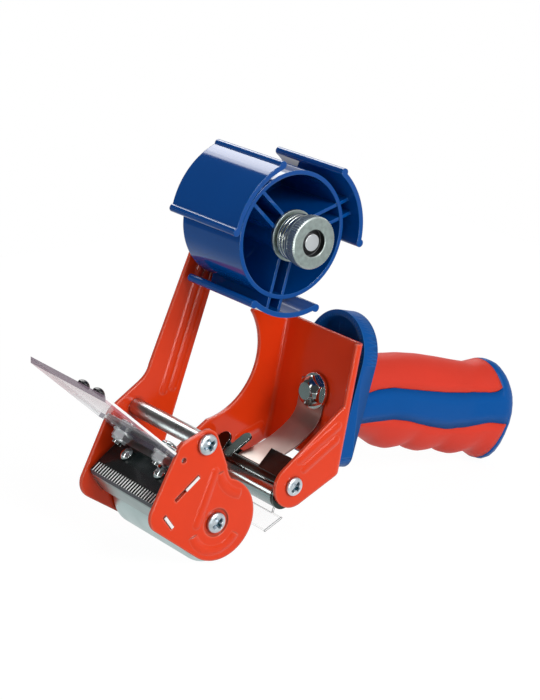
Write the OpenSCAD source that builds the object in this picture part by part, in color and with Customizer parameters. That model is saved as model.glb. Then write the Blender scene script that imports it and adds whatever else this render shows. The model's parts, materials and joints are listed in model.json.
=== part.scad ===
// Hand-held packing tape dispenser with a pistol grip, a braked tape hub and a serrated cutter.
// Sizes are in millimetres. It stands on its front roller and on the heel of its grip.
// Sub-parts are drawn from the front roller's axis: +X runs back to the grip, +Y runs to the side that
// carries the arm, +Z is up. The module seat() then moves them onto the part's own origin.

/* [Tape] */
// Width of the tape that the hub and the rollers carry
tape_w = 50; // [46:0.5:50]
// Inside diameter of the tape's cardboard core
core_d = 76; // [75:0.5:77]

/* [Frame] */
// Clear width between the two side plates
frame_gap = 55; // [55:0.5:57]
// Thickness of the pressed steel sheet
sheet_t = 1.8; // [1.6:0.1:2]
// Lean of the rear wall from upright, in degrees
wall_lean = 10; // [8:0.5:12]
// Width of a pressed stiffening bead
bead_w = 5; // [4:0.5:5]
// Height of a pressed stiffening bead
bead_rise = 0.8; // [0.6:0.1:1]

/* [Front roller] */
// Diameter of the front roller
roller_d = 41; // [40.5:0.1:41.2]
// Diameter of the roller axles
axle_d = 8; // [7:0.5:8]

/* [Cutter] */
// Thickness of the blade carrier's sheet
carrier_t = 1.5; // [1.2:0.1:1.6]
// Thickness of the black cover on the carrier
cover_t = 3.3; // [3:0.1:3.5]
// Thickness of the blade
blade_t = 0.8; // [0.6:0.1:0.9]
// Distance between two teeth
tooth_pitch = 2; // [1.6:0.2:2.5]
// Thickness of the clear flap
flap_t = 2.3; // [2:0.1:2.4]

/* [Tape guide] */
// Diameter of the guide roller
guide_d = 13; // [12:0.5:13]
// Width of the leaf spring
leaf_w = 18.6; // [17:0.2:19]
// Thickness of the leaf spring
leaf_t = 0.8; // [0.6:0.1:1]

/* [Hub] */
// Diameter of the hub's drum
drum_d = 61; // [58:0.5:61]
// Wall thickness of the drum and its webs
drum_t = 2; // [1.6:0.1:2.2]
// Angle that one wing spans
wing_span = 60; // [54:1:64]
// Clear width between the two webs of a pair
web_gap = 5.5; // [4.5:0.5:6]

/* [Brake] */
// Diameter of the brake nut
nut_d = 25; // [23:0.5:25]
// Wire diameter of the brake spring
wire_d = 2; // [1.6:0.1:2]
// Number of turns of the brake spring
spring_turns = 3; // [2.5:0.25:3]

/* [Handle] */
// Slope of the handle below level, in degrees
handle_slope = 14.8; // [14.8:0.1:15.2]
// Half width of the grip at its middle
grip_half_w = 16.5; // [15.5:0.5:17]
// Depth of the soft grips over the handle's body
grip_t = 2.6; // [2:0.1:3]

/* [Hidden] */
$fn = 64;

RED = [0.86, 0.14, 0.08];
BLUE = [0.03, 0.20, 0.55];
CHROME = [0.80, 0.82, 0.84];
ZINC = [0.72, 0.73, 0.72];
BLACK = [0.05, 0.05, 0.06];
SATIN = [0.62, 0.58, 0.52];
CLEAR = [0.80, 0.86, 0.92, 0.4];

NEAR = -1;
FAR = 1;
// Running clearance on a radius, and the small gap left between seated pieces
run_gap = 0.05;
seat_gap = 0.05;
// A cut runs this far past the face that it opens
past = 1;

half_gap = frame_gap / 2;
face_y = half_gap + sheet_t;
roller_r = roller_d / 2;
axle_r = axle_d / 2;

// Main points in the side view, as [x, z] from the front roller's axis
spacer_at = [-6.9, 40.7];
hub_at = [46.3, 129.4];
lug_at = [45.5, 8];
guide_at = [41, 3];
nose_tip = [-29, 10];
nose_brow = [-16, 37];
lobe_at = [1.5, 1];
wall_at = [80, 45];
lobe_r = roller_r - 0.2;
nose_r = 8.5;
far_tip = [-28.2, 7.8];
far_tip_r = 9.3;
brow_r = 7.5;
spacer_lobe_r = 6.8;
lug_r = 11;
head_r = 15;
wall_low = -36;
wall_high = 27.5;
bend_r = 4;

// Side view slab between two places along Y
module slab(y0, y1) translate([0, y1, 0]) rotate([90, 0, 0]) linear_extrude(y1 - y0) children();

// Bar along Y between two places, at a point of the side view
module bar_y(at, r, y0, y1) translate([at.x, y1, at.y]) rotate([90, 0, 0]) cylinder(r = r, h = y1 - y0);

// Two round ends joined by straight edges that run a hair inside their outer tangents
module tangent_link(c1, r1, c2, r2) {
    hair = 0.02;
    d = c2 - c1;
    lay = atan2(d.y, d.x);
    open = acos((r1 - r2) / norm(d));
    function rim(c, r, a) = c + (r - hair) * [cos(a), sin(a)];
    translate(c1) circle(r1);
    translate(c2) circle(r2);
    polygon([rim(c1, r1, lay - open), rim(c2, r2, lay - open), rim(c2, r2, lay + open), rim(c1, r1, lay + open)]);
}

// Sector of a ring: a strip of some thickness along an arc, from one angle to another
module arc_strip(at, r, t, from, to) {
    far = 3 * r;
    function ray(a) = far * [cos(a), sin(a)];
    translate(at) intersection() {
        difference() {
            circle(r + t / 2);
            circle(r - t / 2);
        }
        polygon([[0, 0], ray(from), ray((from + to) / 2), ray(to)]);
    }
}

// Pressed bead from p1 to p2 on the face y = 0, rising towards -Y
module bead(p1, p2) {
    d = p2 - p1;
    r = (bead_w * bead_w / 4 + bead_rise * bead_rise) / (2 * bead_rise);
    bite = 0.4;
    reach = norm(d) + 2 * r;
    intersection() {
        translate([p1.x, r - bead_rise, p1.y]) rotate([0, 90 - atan2(d.y, d.x), 0]) rotate_extrude()
            intersection() {
                tangent_link([0, 0], r, [0, norm(d)], r);
                translate([0, -r]) square([r, reach]);
            }
        translate([min(p1.x, p2.x) - r, -bead_rise - past, min(p1.y, p2.y) - r])
            cube([abs(d.x) + 2 * r, bead_rise + past + bite, abs(d.y) + 2 * r]);
    }
}

// Pressed bead along an arc on the face y = 0, rising towards -Y
module arc_bead(at, arc_r, from, sweep) {
    r = (bead_w * bead_w / 4 + bead_rise * bead_rise) / (2 * bead_rise);
    bite = 0.4;
    translate([at.x, 0, at.y]) rotate([90, 0, 0]) rotate([0, 0, from]) rotate_extrude(angle = sweep)
        intersection() {
            translate([arc_r, bead_rise - r]) circle(r);
            translate([arc_r - r, -bite]) square([2 * r, bite + bead_rise]);
        }
}

// Moves a drawing in the wall's own frame: x away from the rear wall's front face, z up along it
module on_wall() translate([wall_at.x, 0, wall_at.y]) rotate([0, wall_lean, 0]) children();

// Pan head screw along Y: its head's underside lies on y = 0 and the shank runs to +Y
module cross_screw(head_r, head_h, shank_r, shank_l) {
    dome_r = 1.6 * head_r;
    slot_w = 0.22 * head_r;
    slot_l = 1.15 * head_r;
    slot_depth = 0.7 * head_h;
    difference() {
        union() {
            intersection() {
                rotate([90, 0, 0]) cylinder(r = head_r, h = head_h);
                translate([0, dome_r - head_h, 0]) sphere(dome_r);
            }
            rotate([-90, 0, 0]) cylinder(r = shank_r, h = shank_l);
        }
        for (turn = [20, 110])
            rotate([0, turn, 0]) translate([-slot_l / 2, -head_h - past, -slot_w / 2])
                cube([slot_l, slot_depth + past, slot_w]);
    }
}

// Puts a screw on a side plate's outer face: near or far
module on_face(side, at, y) translate([at.x, side * y, at.y]) mirror([0, side == FAR ? 1 : 0, 0]) children();

// The part's own origin is under the middle of its box
module seat() translate([-mid_x, 0, roller_r]) children();

// Side outlines of the frame
slot_low = [-23.7, 16.2];
slot_high = [-10.5, 25.6];
ramp_a = atan2(slot_high.y - slot_low.y, slot_high.x - slot_low.x);
ramp_e = [-cos(ramp_a), -sin(ramp_a)];
ramp_n = [-sin(ramp_a), cos(ramp_a)];
ramp_front = 8.5;
lip_tab_mid = 5.8;
lip_slot_mid = slot_low + ramp_front * ramp_e - lip_tab_mid * ramp_n;
slot_w = carrier_t + 0.3;
lip_tab_l = 7.6;
lip_slot_l = lip_tab_l + 0.8;
pin_hole_at = [-19.5, 35.2];

// Nose plate: a lobe round the roller, the nose's tip, its brow and the spacer bar's lobe
module nose_outline(tip = nose_tip, tip_r = nose_r) {
    hollow_at = [18.3, 28.3];
    hollow_r = 13;
    tangent_link(lobe_at, lobe_r, tip, tip_r);
    tangent_link(tip, tip_r, nose_brow, brow_r);
    tangent_link(nose_brow, brow_r, spacer_at, spacer_lobe_r);
    difference() {
        polygon([nose_brow, nose_tip, lobe_at, [14, 16.5], [4.9, 28.5], [-0.5, 43], spacer_at]);
        translate(hollow_at) circle(hollow_r);
    }
}

// Slots for the carrier's tabs, the small pin hole and the two screw holes
module nose_holes(screw_r) {
    translate(slot_low) rotate(ramp_a) translate([0, -slot_w / 2]) square([norm(slot_high - slot_low), slot_w]);
    translate(lip_slot_mid) rotate(ramp_a - 90) square([lip_slot_l, slot_w], center = true);
    translate(pin_hole_at) circle(1.3);
    translate(spacer_at) circle(screw_r);
    circle(screw_r);
}

// Arm from the nose up to its round head behind the hub
module arm_outline() {
    fillet_at = [-10.2, 63.2];
    fillet_r = 11.6;
    rear_low = [9.9, 18];
    rear_high = [35, 92];
    difference() {
        union() {
            translate(hub_at) circle(head_r);
            polygon([[0, 58], [-4.3, 53.1], nose_brow + brow_r * [cos(123), sin(123)], nose_brow, lobe_at, rear_low,
                rear_high, [44.5, 120], hub_at, hub_at + (head_r - 0.2) * [cos(157.2), sin(157.2)], [3.5, 66.3]]);
        }
        translate(fillet_at) circle(fillet_r);
    }
}

// Rear part of the far wall with the large curved opening in front of it
module rear_outline() {
    throat_at = [16.5, 19.5];
    throat_r = 5.8;
    throat_in = throat_r - 0.3;
    opening_at = [33, 58.8];
    opening_r = 33.8;
    difference() {
        union() {
            tangent_link(lobe_at, lobe_r, lug_at, lug_r);
            polygon([lug_at, [76, 9], [90, 75], [84.5, 75], [62, 78], [40, 40], [6, 34], lobe_at]);
            tangent_link(lug_at, lug_r, [74, 10], 1.5);
        }
        translate(throat_at) circle(throat_r);
        translate(opening_at) circle(opening_r);
        polygon([throat_at + throat_in * [cos(-61), sin(-61)], [37, 25.6], opening_at, [22, 75], [5, 30],
            throat_at + throat_in * [cos(165), sin(165)]]);
    }
}

// Lug on the near side, from the rear wall forward to the guide bracket's screw
module lug_outline() {
    tangent_link(lug_at, lug_r, [84, 47], 1);
    tangent_link(lug_at, lug_r, [74, 10], 1.5);
    polygon([lug_at, [74, 9], [84, 47]]);
}

// Rear wall seen from the side
module wall_outline() {
    translate(wall_at) rotate(-wall_lean) translate([-bend_r, wall_low])
        square([bend_r + sheet_t + past, wall_high - wall_low]);
}

// Sheet bent into a channel: rear wall, two rounded bends and two side walls, drawn from above and run up along the wall
module channel() {
    tall = 400;
    deep = 200;
    inner_bend = bend_r - sheet_t;
    on_wall() translate([0, 0, -tall / 2]) linear_extrude(tall) {
        translate([0, bend_r - face_y]) square([sheet_t, 2 * (face_y - bend_r)]);
        translate([sheet_t - bend_r, face_y - bend_r]) corner(0);
        translate([sheet_t - bend_r, bend_r - face_y]) corner(-90);
        for (y = [half_gap, -face_y]) translate([sheet_t - bend_r - deep, y]) square([deep, sheet_t]);
    }
    module corner(turn) rotate(turn) difference() {
        intersection() {
            circle(bend_r);
            square(2 * bend_r);
        }
        circle(inner_bend);
    }
}

bolt_y = -3;
bolt_z = -3.5;
bolt_r = 4;

module main_frame() seat() color(RED) difference() {
    lug_beads = [[[71.6, 33], [49, 20.5]], [[70.8, 26], [52, 15.5]]];
    arm_beads = [[[9, 46], [31, 110]], [[14.5, 47], [35, 107]]];
    wall_beads = [[[55.4, 11.4], [69.3, 15.4]]];
    union() {
        intersection() {
            channel();
            slab(half_gap - bend_r, face_y + past) {
                nose_outline(far_tip, far_tip_r);
                arm_outline();
                rear_outline();
            }
        }
        intersection() {
            channel();
            slab(-face_y - past, bend_r - half_gap) {
                lug_outline();
                wall_outline();
            }
        }
        intersection() {
            channel();
            slab(-half_gap, half_gap) wall_outline();
        }
        translate([0, -face_y, 0]) for (b = lug_beads) bead(b[0], b[1]);
        translate([0, half_gap, 0]) for (b = concat(arm_beads, wall_beads)) bead(b[0], b[1]);
    }
    slab(half_gap - past, face_y + past) nose_holes(2.65);
    bar_y(hub_at, axle_r + 0.1, half_gap - past, face_y + past);
    for (side = [NEAR, FAR]) bar_y(lug_at, 2.15, min(side * half_gap, side * (face_y + past)) - past,
        max(side * half_gap, side * (face_y + past)));
    on_wall() translate([-past, bolt_y, bolt_z]) rotate([0, 90, 0]) cylinder(r = bolt_r + 0.1, h = sheet_t + 2 * past);
}

dimple_r = 7;
dimple_depth = 0.9;

module near_side_plate() seat() color(RED) difference() {
    nose_beads = [[[-1.5, 25.5], [-11.1, 1.5]]];
    union() {
        slab(-face_y, -half_gap) nose_outline();
        translate([0, -face_y, 0]) {
            for (b = nose_beads) bead(b[0], b[1]);
            arc_bead([18.3, 28.3], 17.5, 192, 62);
            arc_bead([0, 0], 13.8, 197, 128);
        }
    }
    slab(-face_y - past, past - half_gap) nose_holes(2.65);
    bar_y([0, 0], dimple_r, -face_y - bead_rise - past, dimple_depth - face_y);
}

// Plain bar between the side plates, tapped at both ends
tap_r = 2.55;
tap_depth = 13;
module tapped_bar(at, r) difference() {
    bar_y(at, r, -half_gap, half_gap);
    bar_y(at, tap_r, -half_gap - past, tap_depth - half_gap);
    bar_y(at, tap_r, half_gap - tap_depth, half_gap + past);
}

spacer_r = 4.25;
screw_head_r = 5;
screw_head_h = 2.8;
screw_r = 2.5;
screw_l = 12;
module plate_screw() cross_screw(screw_head_r, screw_head_h, screw_r, screw_l);

module upper_spacer_bar() seat() color(CHROME) tapped_bar(spacer_at, spacer_r);
module spacer_screw_near() seat() color(CHROME) on_face(NEAR, spacer_at, face_y) plate_screw();
module spacer_screw_far() seat() color(CHROME) on_face(FAR, spacer_at, face_y) plate_screw();
module front_axle() seat() color(ZINC) tapped_bar([0, 0], axle_r);
module axle_screw_near() seat() color(CHROME) on_face(NEAR, [0, 0], face_y - dimple_depth) plate_screw();
module axle_screw_far() seat() color(CHROME) on_face(FAR, [0, 0], face_y) plate_screw();

roller_half = half_gap - 1.2;
bush_r = 7;
bush_l = 12;
bush_lip = 0.6;

module front_roller() seat() color(ZINC) rotate([90, 0, 0]) rotate_extrude() difference() {
    core_r = 10;
    edge = 0.8;
    polygon([[bush_r, -roller_half], [roller_r - edge, -roller_half], [roller_r, edge - roller_half],
        [roller_r, roller_half - edge], [roller_r - edge, roller_half], [bush_r, roller_half]]);
    for (side = [NEAR, FAR]) translate([core_r, side == FAR ? roller_half - 4 : -roller_half - past])
        square([roller_r - 3 - core_r, 4 + past]);
    translate([bush_r - past, -roller_half + bush_l]) square([past + 1.5, 2 * (roller_half - bush_l)]);
}

// Flanged bush in one end of the front roller
module front_bush(side) seat() color(BLACK) mirror([0, side == NEAR ? 1 : 0, 0]) difference() {
    union() {
        bar_y([0, 0], bush_r, roller_half - bush_l, roller_half);
        bar_y([0, 0], bush_r + 1.5, roller_half, roller_half + bush_lip);
    }
    bar_y([0, 0], axle_r + run_gap, roller_half - bush_l - past, roller_half + past);
}
module front_bush_near() front_bush(NEAR);
module front_bush_far() front_bush(FAR);

// Cutter. The ramp's own frame has x forward and down the ramp from the slot's lower end, z square to it.
module on_ramp() translate([slot_low.x, 0, slot_low.y]) rotate([0, -ramp_a, 0]) mirror([1, 0, 0]) children();
module ramp_slab(y0, y1) on_ramp() slab(y0, y1) children();

carrier_half = half_gap - 0.15;
tab_end = face_y + 0.5;
ramp_rear = -18.6;
lip_l = 11;
flap_a = 138;
flange_l = 20;
flap_screw_y = 16.3;
// Flap's lower face meets its nut here
flap_nut_at = [-21.3, 34.3];
flap_d = [cos(flap_a), sin(flap_a)];
flap_half = 30.6;
tongue_half = half_gap - 0.6;
flap_screw_r = 2.5;

// Drawing in the flap's frame: x up along the flap from its nuts, z square to it, out of its lower face
module on_flap() translate([flap_nut_at.x, 0, flap_nut_at.y]) rotate([0, -flap_a, 0]) children();

module blade_carrier() seat() color(ZINC) difference() {
    rear_bend = slot_low - ramp_rear * [cos(ramp_a), sin(ramp_a)];
    union() {
        ramp_slab(-carrier_half, carrier_half) {
            translate([ramp_rear, -carrier_t / 2]) square([ramp_front - ramp_rear, carrier_t]);
            translate([ramp_front - carrier_t / 2, -lip_l]) square([carrier_t, lip_l]);
            translate([ramp_front, 0]) circle(carrier_t / 2);
        }
        slab(-carrier_half, carrier_half) {
            translate(rear_bend) rotate(flap_a) translate([0, -carrier_t / 2]) square([flange_l, carrier_t]);
            translate(rear_bend) circle(carrier_t / 2);
        }
        ramp_slab(-tab_end, tab_end) {
            translate([-15.8, -carrier_t / 2]) square([8.8, carrier_t]);
            translate([ramp_front - carrier_t / 2, -lip_tab_mid - lip_tab_l / 2]) square([carrier_t, lip_tab_l]);
        }
    }
    on_flap() for (side = [NEAR, FAR]) translate([0, side * flap_screw_y, -20])
        cylinder(r = flap_screw_r + 0.15, h = 40);
}

cover_half = half_gap - 0.6;
cover_rear = -11.5;
cover_front = 8.2;
cover_z = carrier_t / 2 + seat_gap;

module blade_cover() seat() color(BLACK) ramp_slab(-cover_half, cover_half)
    polygon([[cover_rear, cover_z], [cover_front, cover_z], [cover_front + 1, cover_z + 1],
        [cover_front, cover_z + cover_t], [cover_rear + 1, cover_z + cover_t], [cover_rear, cover_z + cover_t - 1]]);

// Dome headed screws on the cover
cover_screw_x = -6.5;
cover_screw_y = 13.6;
module cover_screw(side) seat() color(CHROME) on_ramp()
    translate([cover_screw_x, side * cover_screw_y, cover_z + cover_t + seat_gap]) intersection() {
        cylinder(r = 3.4, h = 3.4);
        translate([0, 0, -0.6]) sphere(4);
    }
module cover_screw_near() cover_screw(NEAR);
module cover_screw_far() cover_screw(FAR);

blade_half = tape_w / 2 + 1;
blade_rear = -2.6;
blade_root = 3;
blade_tip = 8.4;
blade_z = cover_z + cover_t + seat_gap;

// Serrated strip: its teeth run forward over the cover's front edge
module serrated_blade() seat() color(CHROME) on_ramp() translate([0, 0, blade_z]) linear_extrude(blade_t) {
    teeth = floor(2 * blade_half / tooth_pitch);
    start = -teeth * tooth_pitch / 2;
    land = 0.15;
    translate([blade_rear, -blade_half]) square([blade_root - blade_rear, 2 * blade_half]);
    for (i = [0 : teeth - 1])
        translate([blade_root - 0.01, start + (i + 0.5) * tooth_pitch])
            polygon([[0, -tooth_pitch / 2], [blade_tip - blade_root, -land], [blade_tip - blade_root, land],
                [0, tooth_pitch / 2]]);
}

// Clear flap: its wide part stops short of the plates' brows and a tongue runs on between them
flap_up = 57;
flap_step = 6.6;
flap_down = -9;
flap_tip_x = flap_nut_at.x + flap_up * flap_d.x;

module clear_flap() seat() color(CLEAR) difference() {
    on_flap() translate([0, 0, -flap_t]) linear_extrude(flap_t) {
        translate([flap_step, -flap_half]) square([flap_up + 10, 2 * flap_half]);
        translate([flap_down, -tongue_half]) square([flap_step - flap_down + 1, 2 * tongue_half]);
    }
    translate([flap_tip_x - 100, -50, 0]) cube(100);
    on_flap() for (side = [NEAR, FAR]) translate([0, side * flap_screw_y, -20])
        cylinder(r = flap_screw_r + 0.15, h = 40);
}

// Flap screw: its head lies on the carrier's flange, its end shows below the nut
module flap_screw(side) seat() color(CHROME) on_flap() translate([0, side * flap_screw_y, 0]) {
    head_z = flap_t + carrier_t + 0.2;
    end_l = 6.5;
    translate([0, 0, -head_z]) mirror([0, 0, 1]) rotate([-90, 0, 0])
        cross_screw(4.5, 2.5, flap_screw_r, 0.1);
    translate([0, 0, -head_z]) cylinder(r = flap_screw_r, h = head_z + end_l);
}
module flap_screw_near() flap_screw(NEAR);
module flap_screw_far() flap_screw(FAR);

module flap_nut(side) seat() color(CHROME) on_flap() translate([0, side * flap_screw_y, seat_gap]) difference() {
    nut_h = 5;
    collar_h = 1.2;
    union() {
        cylinder(r = 5.4, h = collar_h);
        intersection() {
            cylinder(r = 4.6, h = nut_h, $fn = 6);
            translate([0, 0, -1.5]) sphere(7);
        }
    }
    translate([0, 0, -past]) cylinder(r = flap_screw_r + run_gap, h = nut_h + 2 * past);
}
module flap_nut_near() flap_nut(NEAR);
module flap_nut_far() flap_nut(FAR);

// Small domed rivets on the flap's upper face, close to its free end
rivet_in = 3.4;
module flap_rivet(y) seat() color(CHROME) on_flap() translate([flap_up - rivet_in, y, -flap_t - seat_gap])
    mirror([0, 0, 1]) intersection() {
        cylinder(r = 3, h = 2.8);
        translate([0, 0, -0.8]) sphere(3.6);
    }
module flap_rivet_inner() flap_rivet(-6.5);
module flap_rivet_outer() flap_rivet(-18.5);

// Tape guide: a bracket between the lugs that carries the guide roller, with two wings beside the leaf spring
cheek_t = 1.4;
cheek_y = half_gap - 0.1;
strip_low = [37.4, 10.4];
strip_high = [38.6, 13.2];
rear_strip = [[51.5, 2.5], [52.8, 7.5]];
wing_a = 44;
wing_t = 1.2;

module guide_bracket() seat() color(CHROME) difference() {
    finger_r = 4.2;
    rear_finger_r = 3;
    rear_finger_y = leaf_y + leaf_w / 2 + rear_finger_r + 0.6;
    rear_finger_a = 28;
    union() {
        for (side = [NEAR, FAR])
            slab(min(side * cheek_y, side * (cheek_y - cheek_t)), max(side * cheek_y, side * (cheek_y - cheek_t))) {
                tangent_link(guide_at, 6.5, lug_at, 5.5);
                tangent_link(lug_at, 5.5, [40.2, 12.6], 1.6);
                tangent_link(lug_at, 5.5, [51.5, 4], 2);
            }
        slab(-cheek_y, cheek_y) tangent_link(strip_low, wing_t / 2, strip_high, wing_t / 2);
        translate([strip_high.x, 0, strip_high.y]) rotate([0, -wing_a, 0]) translate([0, 0, -wing_t / 2])
            linear_extrude(wing_t) {
                tangent_link([0, 21], finger_r, [4.2, 21], finger_r);
                translate([0, -cheek_y]) square([11, cheek_y + leaf_y - leaf_w / 2 - 0.8]);
            }
        translate([strip_high.x, 0, strip_high.y]) rotate([0, -rear_finger_a, 0]) translate([0, 0, -wing_t / 2])
            linear_extrude(wing_t) tangent_link([0, rear_finger_y], rear_finger_r, [11, rear_finger_y], rear_finger_r);
        slab(-cheek_y, cheek_y) tangent_link(rear_strip[0], wing_t / 2, rear_strip[1], wing_t / 2);
    }
    bar_y(guide_at, axle_small_r + run_gap, -half_gap, half_gap);
    for (side = [NEAR, FAR]) bar_y(lug_at, 2.05, side * cheek_y - 2 * cheek_t, side * cheek_y + 2 * cheek_t);
}

guide_r = guide_d / 2;
axle_small_r = 2.5;
guide_half = cheek_y - cheek_t - 0.6;

module guide_roller() seat() color(CHROME) difference() {
    bar_y(guide_at, guide_r, -guide_half, guide_half);
    bar_y(guide_at, axle_small_r + run_gap, -guide_half - past, guide_half + past);
}
module guide_axle() seat() color(ZINC) bar_y(guide_at, axle_small_r, -cheek_y, cheek_y);

module lug_screw(side) seat() color(CHROME) on_face(side, lug_at, face_y) cross_screw(4.6, 2.4, 2, sheet_t + cheek_t + 0.2);
module lug_screw_near() lug_screw(NEAR);
module lug_screw_far() lug_screw(FAR);

// Leaf spring: flat under the handle bolt, a tight bend, a wide bend, then a straight tongue over the bracket's strip
leaf_y = -0.8;
leaf_top = bolt_z + 4;
leaf_low = bolt_z - 9;
tight_r = 14;
tight_turn = 44;
wide_r = 55;
wide_turn = 24;
tongue_l = 10;

function ray_down(a) = [cos(a), -sin(a)];
module leaf_spring() seat() color(SATIN) on_wall() difference() {
    sheet_x = -leaf_t / 2 - seat_gap;
    tight_at = [sheet_x - tight_r, leaf_low];
    wide_at = tight_at + (tight_r - wide_r) * ray_down(tight_turn);
    turn = tight_turn + wide_turn;
    tongue_at = wide_at + wide_r * ray_down(turn);
    slab(leaf_y - leaf_w / 2, leaf_y + leaf_w / 2) {
        translate([sheet_x - leaf_t / 2, leaf_low]) square([leaf_t, leaf_top - leaf_low]);
        arc_strip(tight_at, tight_r, leaf_t, -tight_turn, 0.2);
        arc_strip(wide_at, wide_r, leaf_t, -turn, 0.2 - tight_turn);
        translate(tongue_at) rotate(-turn) translate([-leaf_t / 2, -tongue_l]) square([leaf_t, tongue_l + 0.1]);
    }
    translate([-10, bolt_y, bolt_z]) rotate([0, 90, 0]) cylinder(r = bolt_r + 0.1, h = 20);
}

// Clear tongue under the guide roller that catches the tape's loose end, with its neck on the bracket's rear strip
module tape_stop() seat() color(CLEAR) {
    stop_r = 0.6;
    stop_half = 22;
    neck_half = 15;
    lift = [-(wing_t / 2 + stop_r + seat_gap), 0.3];
    tray = [[35.3, -15.5], [45, -11.2]];
    slab(-stop_half, stop_half) tangent_link(tray[0], stop_r, tray[1], stop_r);
    slab(-neck_half, neck_half) {
        tangent_link(tray[1], stop_r, rear_strip[0] + lift, stop_r);
        tangent_link(rear_strip[0] + lift, stop_r, rear_strip[1] + lift, stop_r);
    }
}

// Handle bolt along the wall's normal, with its washer on the leaf spring
bolt_face = -leaf_t - 2 * seat_gap;
washer_t = 1.5;
module bolt_washer() seat() color(CHROME) on_wall() translate([bolt_face - washer_t, bolt_y, bolt_z])
    rotate([0, 90, 0]) difference() {
        cylinder(r = 9, h = washer_t);
        translate([0, 0, -past]) cylinder(r = bolt_r + 0.1, h = washer_t + 2 * past);
    }

module handle_bolt() seat() color(CHROME) on_wall() translate([bolt_face - washer_t - seat_gap, bolt_y, bolt_z])
    rotate([0, 90, 0]) {
        head_h = 5.5;
        translate([0, 0, -head_h]) intersection() {
            cylinder(r = 8, h = head_h, $fn = 6);
            translate([0, 0, 8.6]) sphere(9.6);
        }
        cylinder(r = bolt_r, h = bolt_l);
    }
bolt_l = 46;

// Handle. Its frame has s along the grip from the hand guard and h square to it.
handle_at = [93, 35.4];
handle_end = 120.7;
guard_back = -0.8;
guard_y = -3;
guard_t = 3;
guard_depth = 9;
guard_half = 21.6;
guard_top = 43.8;
guard_foot = -31;
foot_r = 7;
boss_reach = 20;

// Height of the top and of the underside over the handle's axis, and half its width, at a station
top_line = [[-6, 21], [10, 22], [24, 23.4], [38, 25], [52, 25.5], [67, 25], [79, 24.3], [88, 24], [95, 25.8],
    [99.5, 27], [104, 26.8], [107.2, 25.6], [110.4, 23.2], [113.7, 19.6], [116.3, 15.6], [118.2, 11.4], [119.7, 6],
    [120.7, 2]];
heel_line = [[-6, 17], [14, 17.5], [27, 21.2], [98, 22.2], [104, 24.6], [107.8, 26.6], [111.7, 27.4], [115, 26.7],
    [116.9, 25.4], [118.5, 22.8], [119.7, 19.6], [120.4, 15], [120.7, 9]];
width_line = [[-6, 14.5], [10, 15.5], [40, 16.5], [85, 16], [98, 17.4], [107.8, 18], [111.7, 17.4], [114.3, 16],
    [116.9, 13.2], [118.8, 9.8], [120.1, 6], [120.7, 3]];
finger_pitch = 23.8;
finger_first = 27;
finger_rise = 3.4;
stripe_top = [[-6, 5], [7, 5.5], [16, 8.5], [27, 10.3], [66, 10.2], [84, 11], [97, 13], [124, 13]];
stripe_low = [[-6, 11], [7, 11], [19, 8], [30, 5.8], [40, 5.8], [56, 8], [70, 8.8], [84, 7], [98, 3], [124, 3]];

function fingers(s) = s < finger_first || s > finger_first + 3 * finger_pitch ? 0 :
    finger_rise * pow(abs(sin(180 * (s - finger_first) / finger_pitch)), 0.8);
function heel(s) = lookup(s, heel_line) + fingers(s);

// Angle where the blue stripe's edge lies, from the grip's near side
function stripe_angle(s, up) = asin(min(0.9, up ? lookup(s, stripe_top) / lookup(s, top_line)
    : lookup(s, stripe_low) / heel(s)));

// Point of the grip's skin at a station and an angle, sunk by a depth
function skin(s, a, sink) =
    let (w = lookup(s, width_line) * grip_half_w / 16.5,
        h = sin(a) >= 0 ? lookup(s, top_line) : heel(s),
        y = -w * sign(cos(a)) * pow(abs(cos(a)), 0.9),
        v = h * sin(a),
        k = 1 - sink / norm([y, v]))
    [s, y * k, v * k];

// From the handle's frame into the side view's frame
function handle_point(p) = [handle_at.x + p.x * cos(handle_slope) + p.z * sin(handle_slope), p.y,
    handle_at.y - p.x * sin(handle_slope) + p.z * cos(handle_slope)];

// The red grips end on a slanting line: later on the flanks than on the crest
function grip_end(a) = 111 - 13 * max(0, sin(a)) + 3 * min(0, sin(a));
grip_begin = guard_back + seat_gap;
function station(t, a) = grip_begin + t * (grip_end(a) - grip_begin);

// Closed skin through rings of equal length. The end rings are closed by the given faces of one ring.
module loft(rings, cap) {
    n = len(rings[0]);
    m = len(rings);
    points = [for (r = rings) for (p = r) handle_point(p)];
    sides = [for (i = [0 : m - 2]) for (j = [0 : n - 1]) let (k = (j + 1) % n)
        each [[i * n + j, (i + 1) * n + k, (i + 1) * n + j], [i * n + j, i * n + k, (i + 1) * n + k]]];
    first = [for (f = cap) [for (j = [len(f) - 1 : -1 : 0]) f[j]]];
    last = [for (f = cap) [for (j = f) (m - 1) * n + j]];
    polyhedron(points, concat(sides, first, last), convexity = 8);
}

grip_rings = 40;
arc_steps = 12;
stripe_steps = 3;
end_rings = 9;
// Angle between the stripe's edge and the first line of the sunk seat, and a grip's further play
edge_play = 0.5;

// Angles round one ring: near stripe, upper seat, far stripe, lower seat
function ring_angles(up, low) = concat(
    [for (i = [0 : stripe_steps]) -low + (up + low) * i / stripe_steps],
    [for (i = [0 : arc_steps]) up + edge_play + (180 - 2 * (up + edge_play)) * i / arc_steps],
    [for (i = [0 : stripe_steps]) 180 - up + (up + low) * i / stripe_steps],
    [for (i = [0 : arc_steps]) 180 + low + edge_play + (180 - 2 * (low + edge_play)) * i / arc_steps]);
stripe_n = stripe_steps + 1;
ring_half = stripe_n + arc_steps + 1;

// One ring of the handle's body: the stripe lies on the skin and the grips' seats are sunk
function body_ring(t, sink) =
    let (mid = station(t, 0), angles = ring_angles(stripe_angle(mid, true), stripe_angle(mid, false)))
    [for (j = [0 : len(angles) - 1]) skin(station(t, angles[j]), angles[j], j % ring_half < stripe_n ? 0 : sink)];

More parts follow.
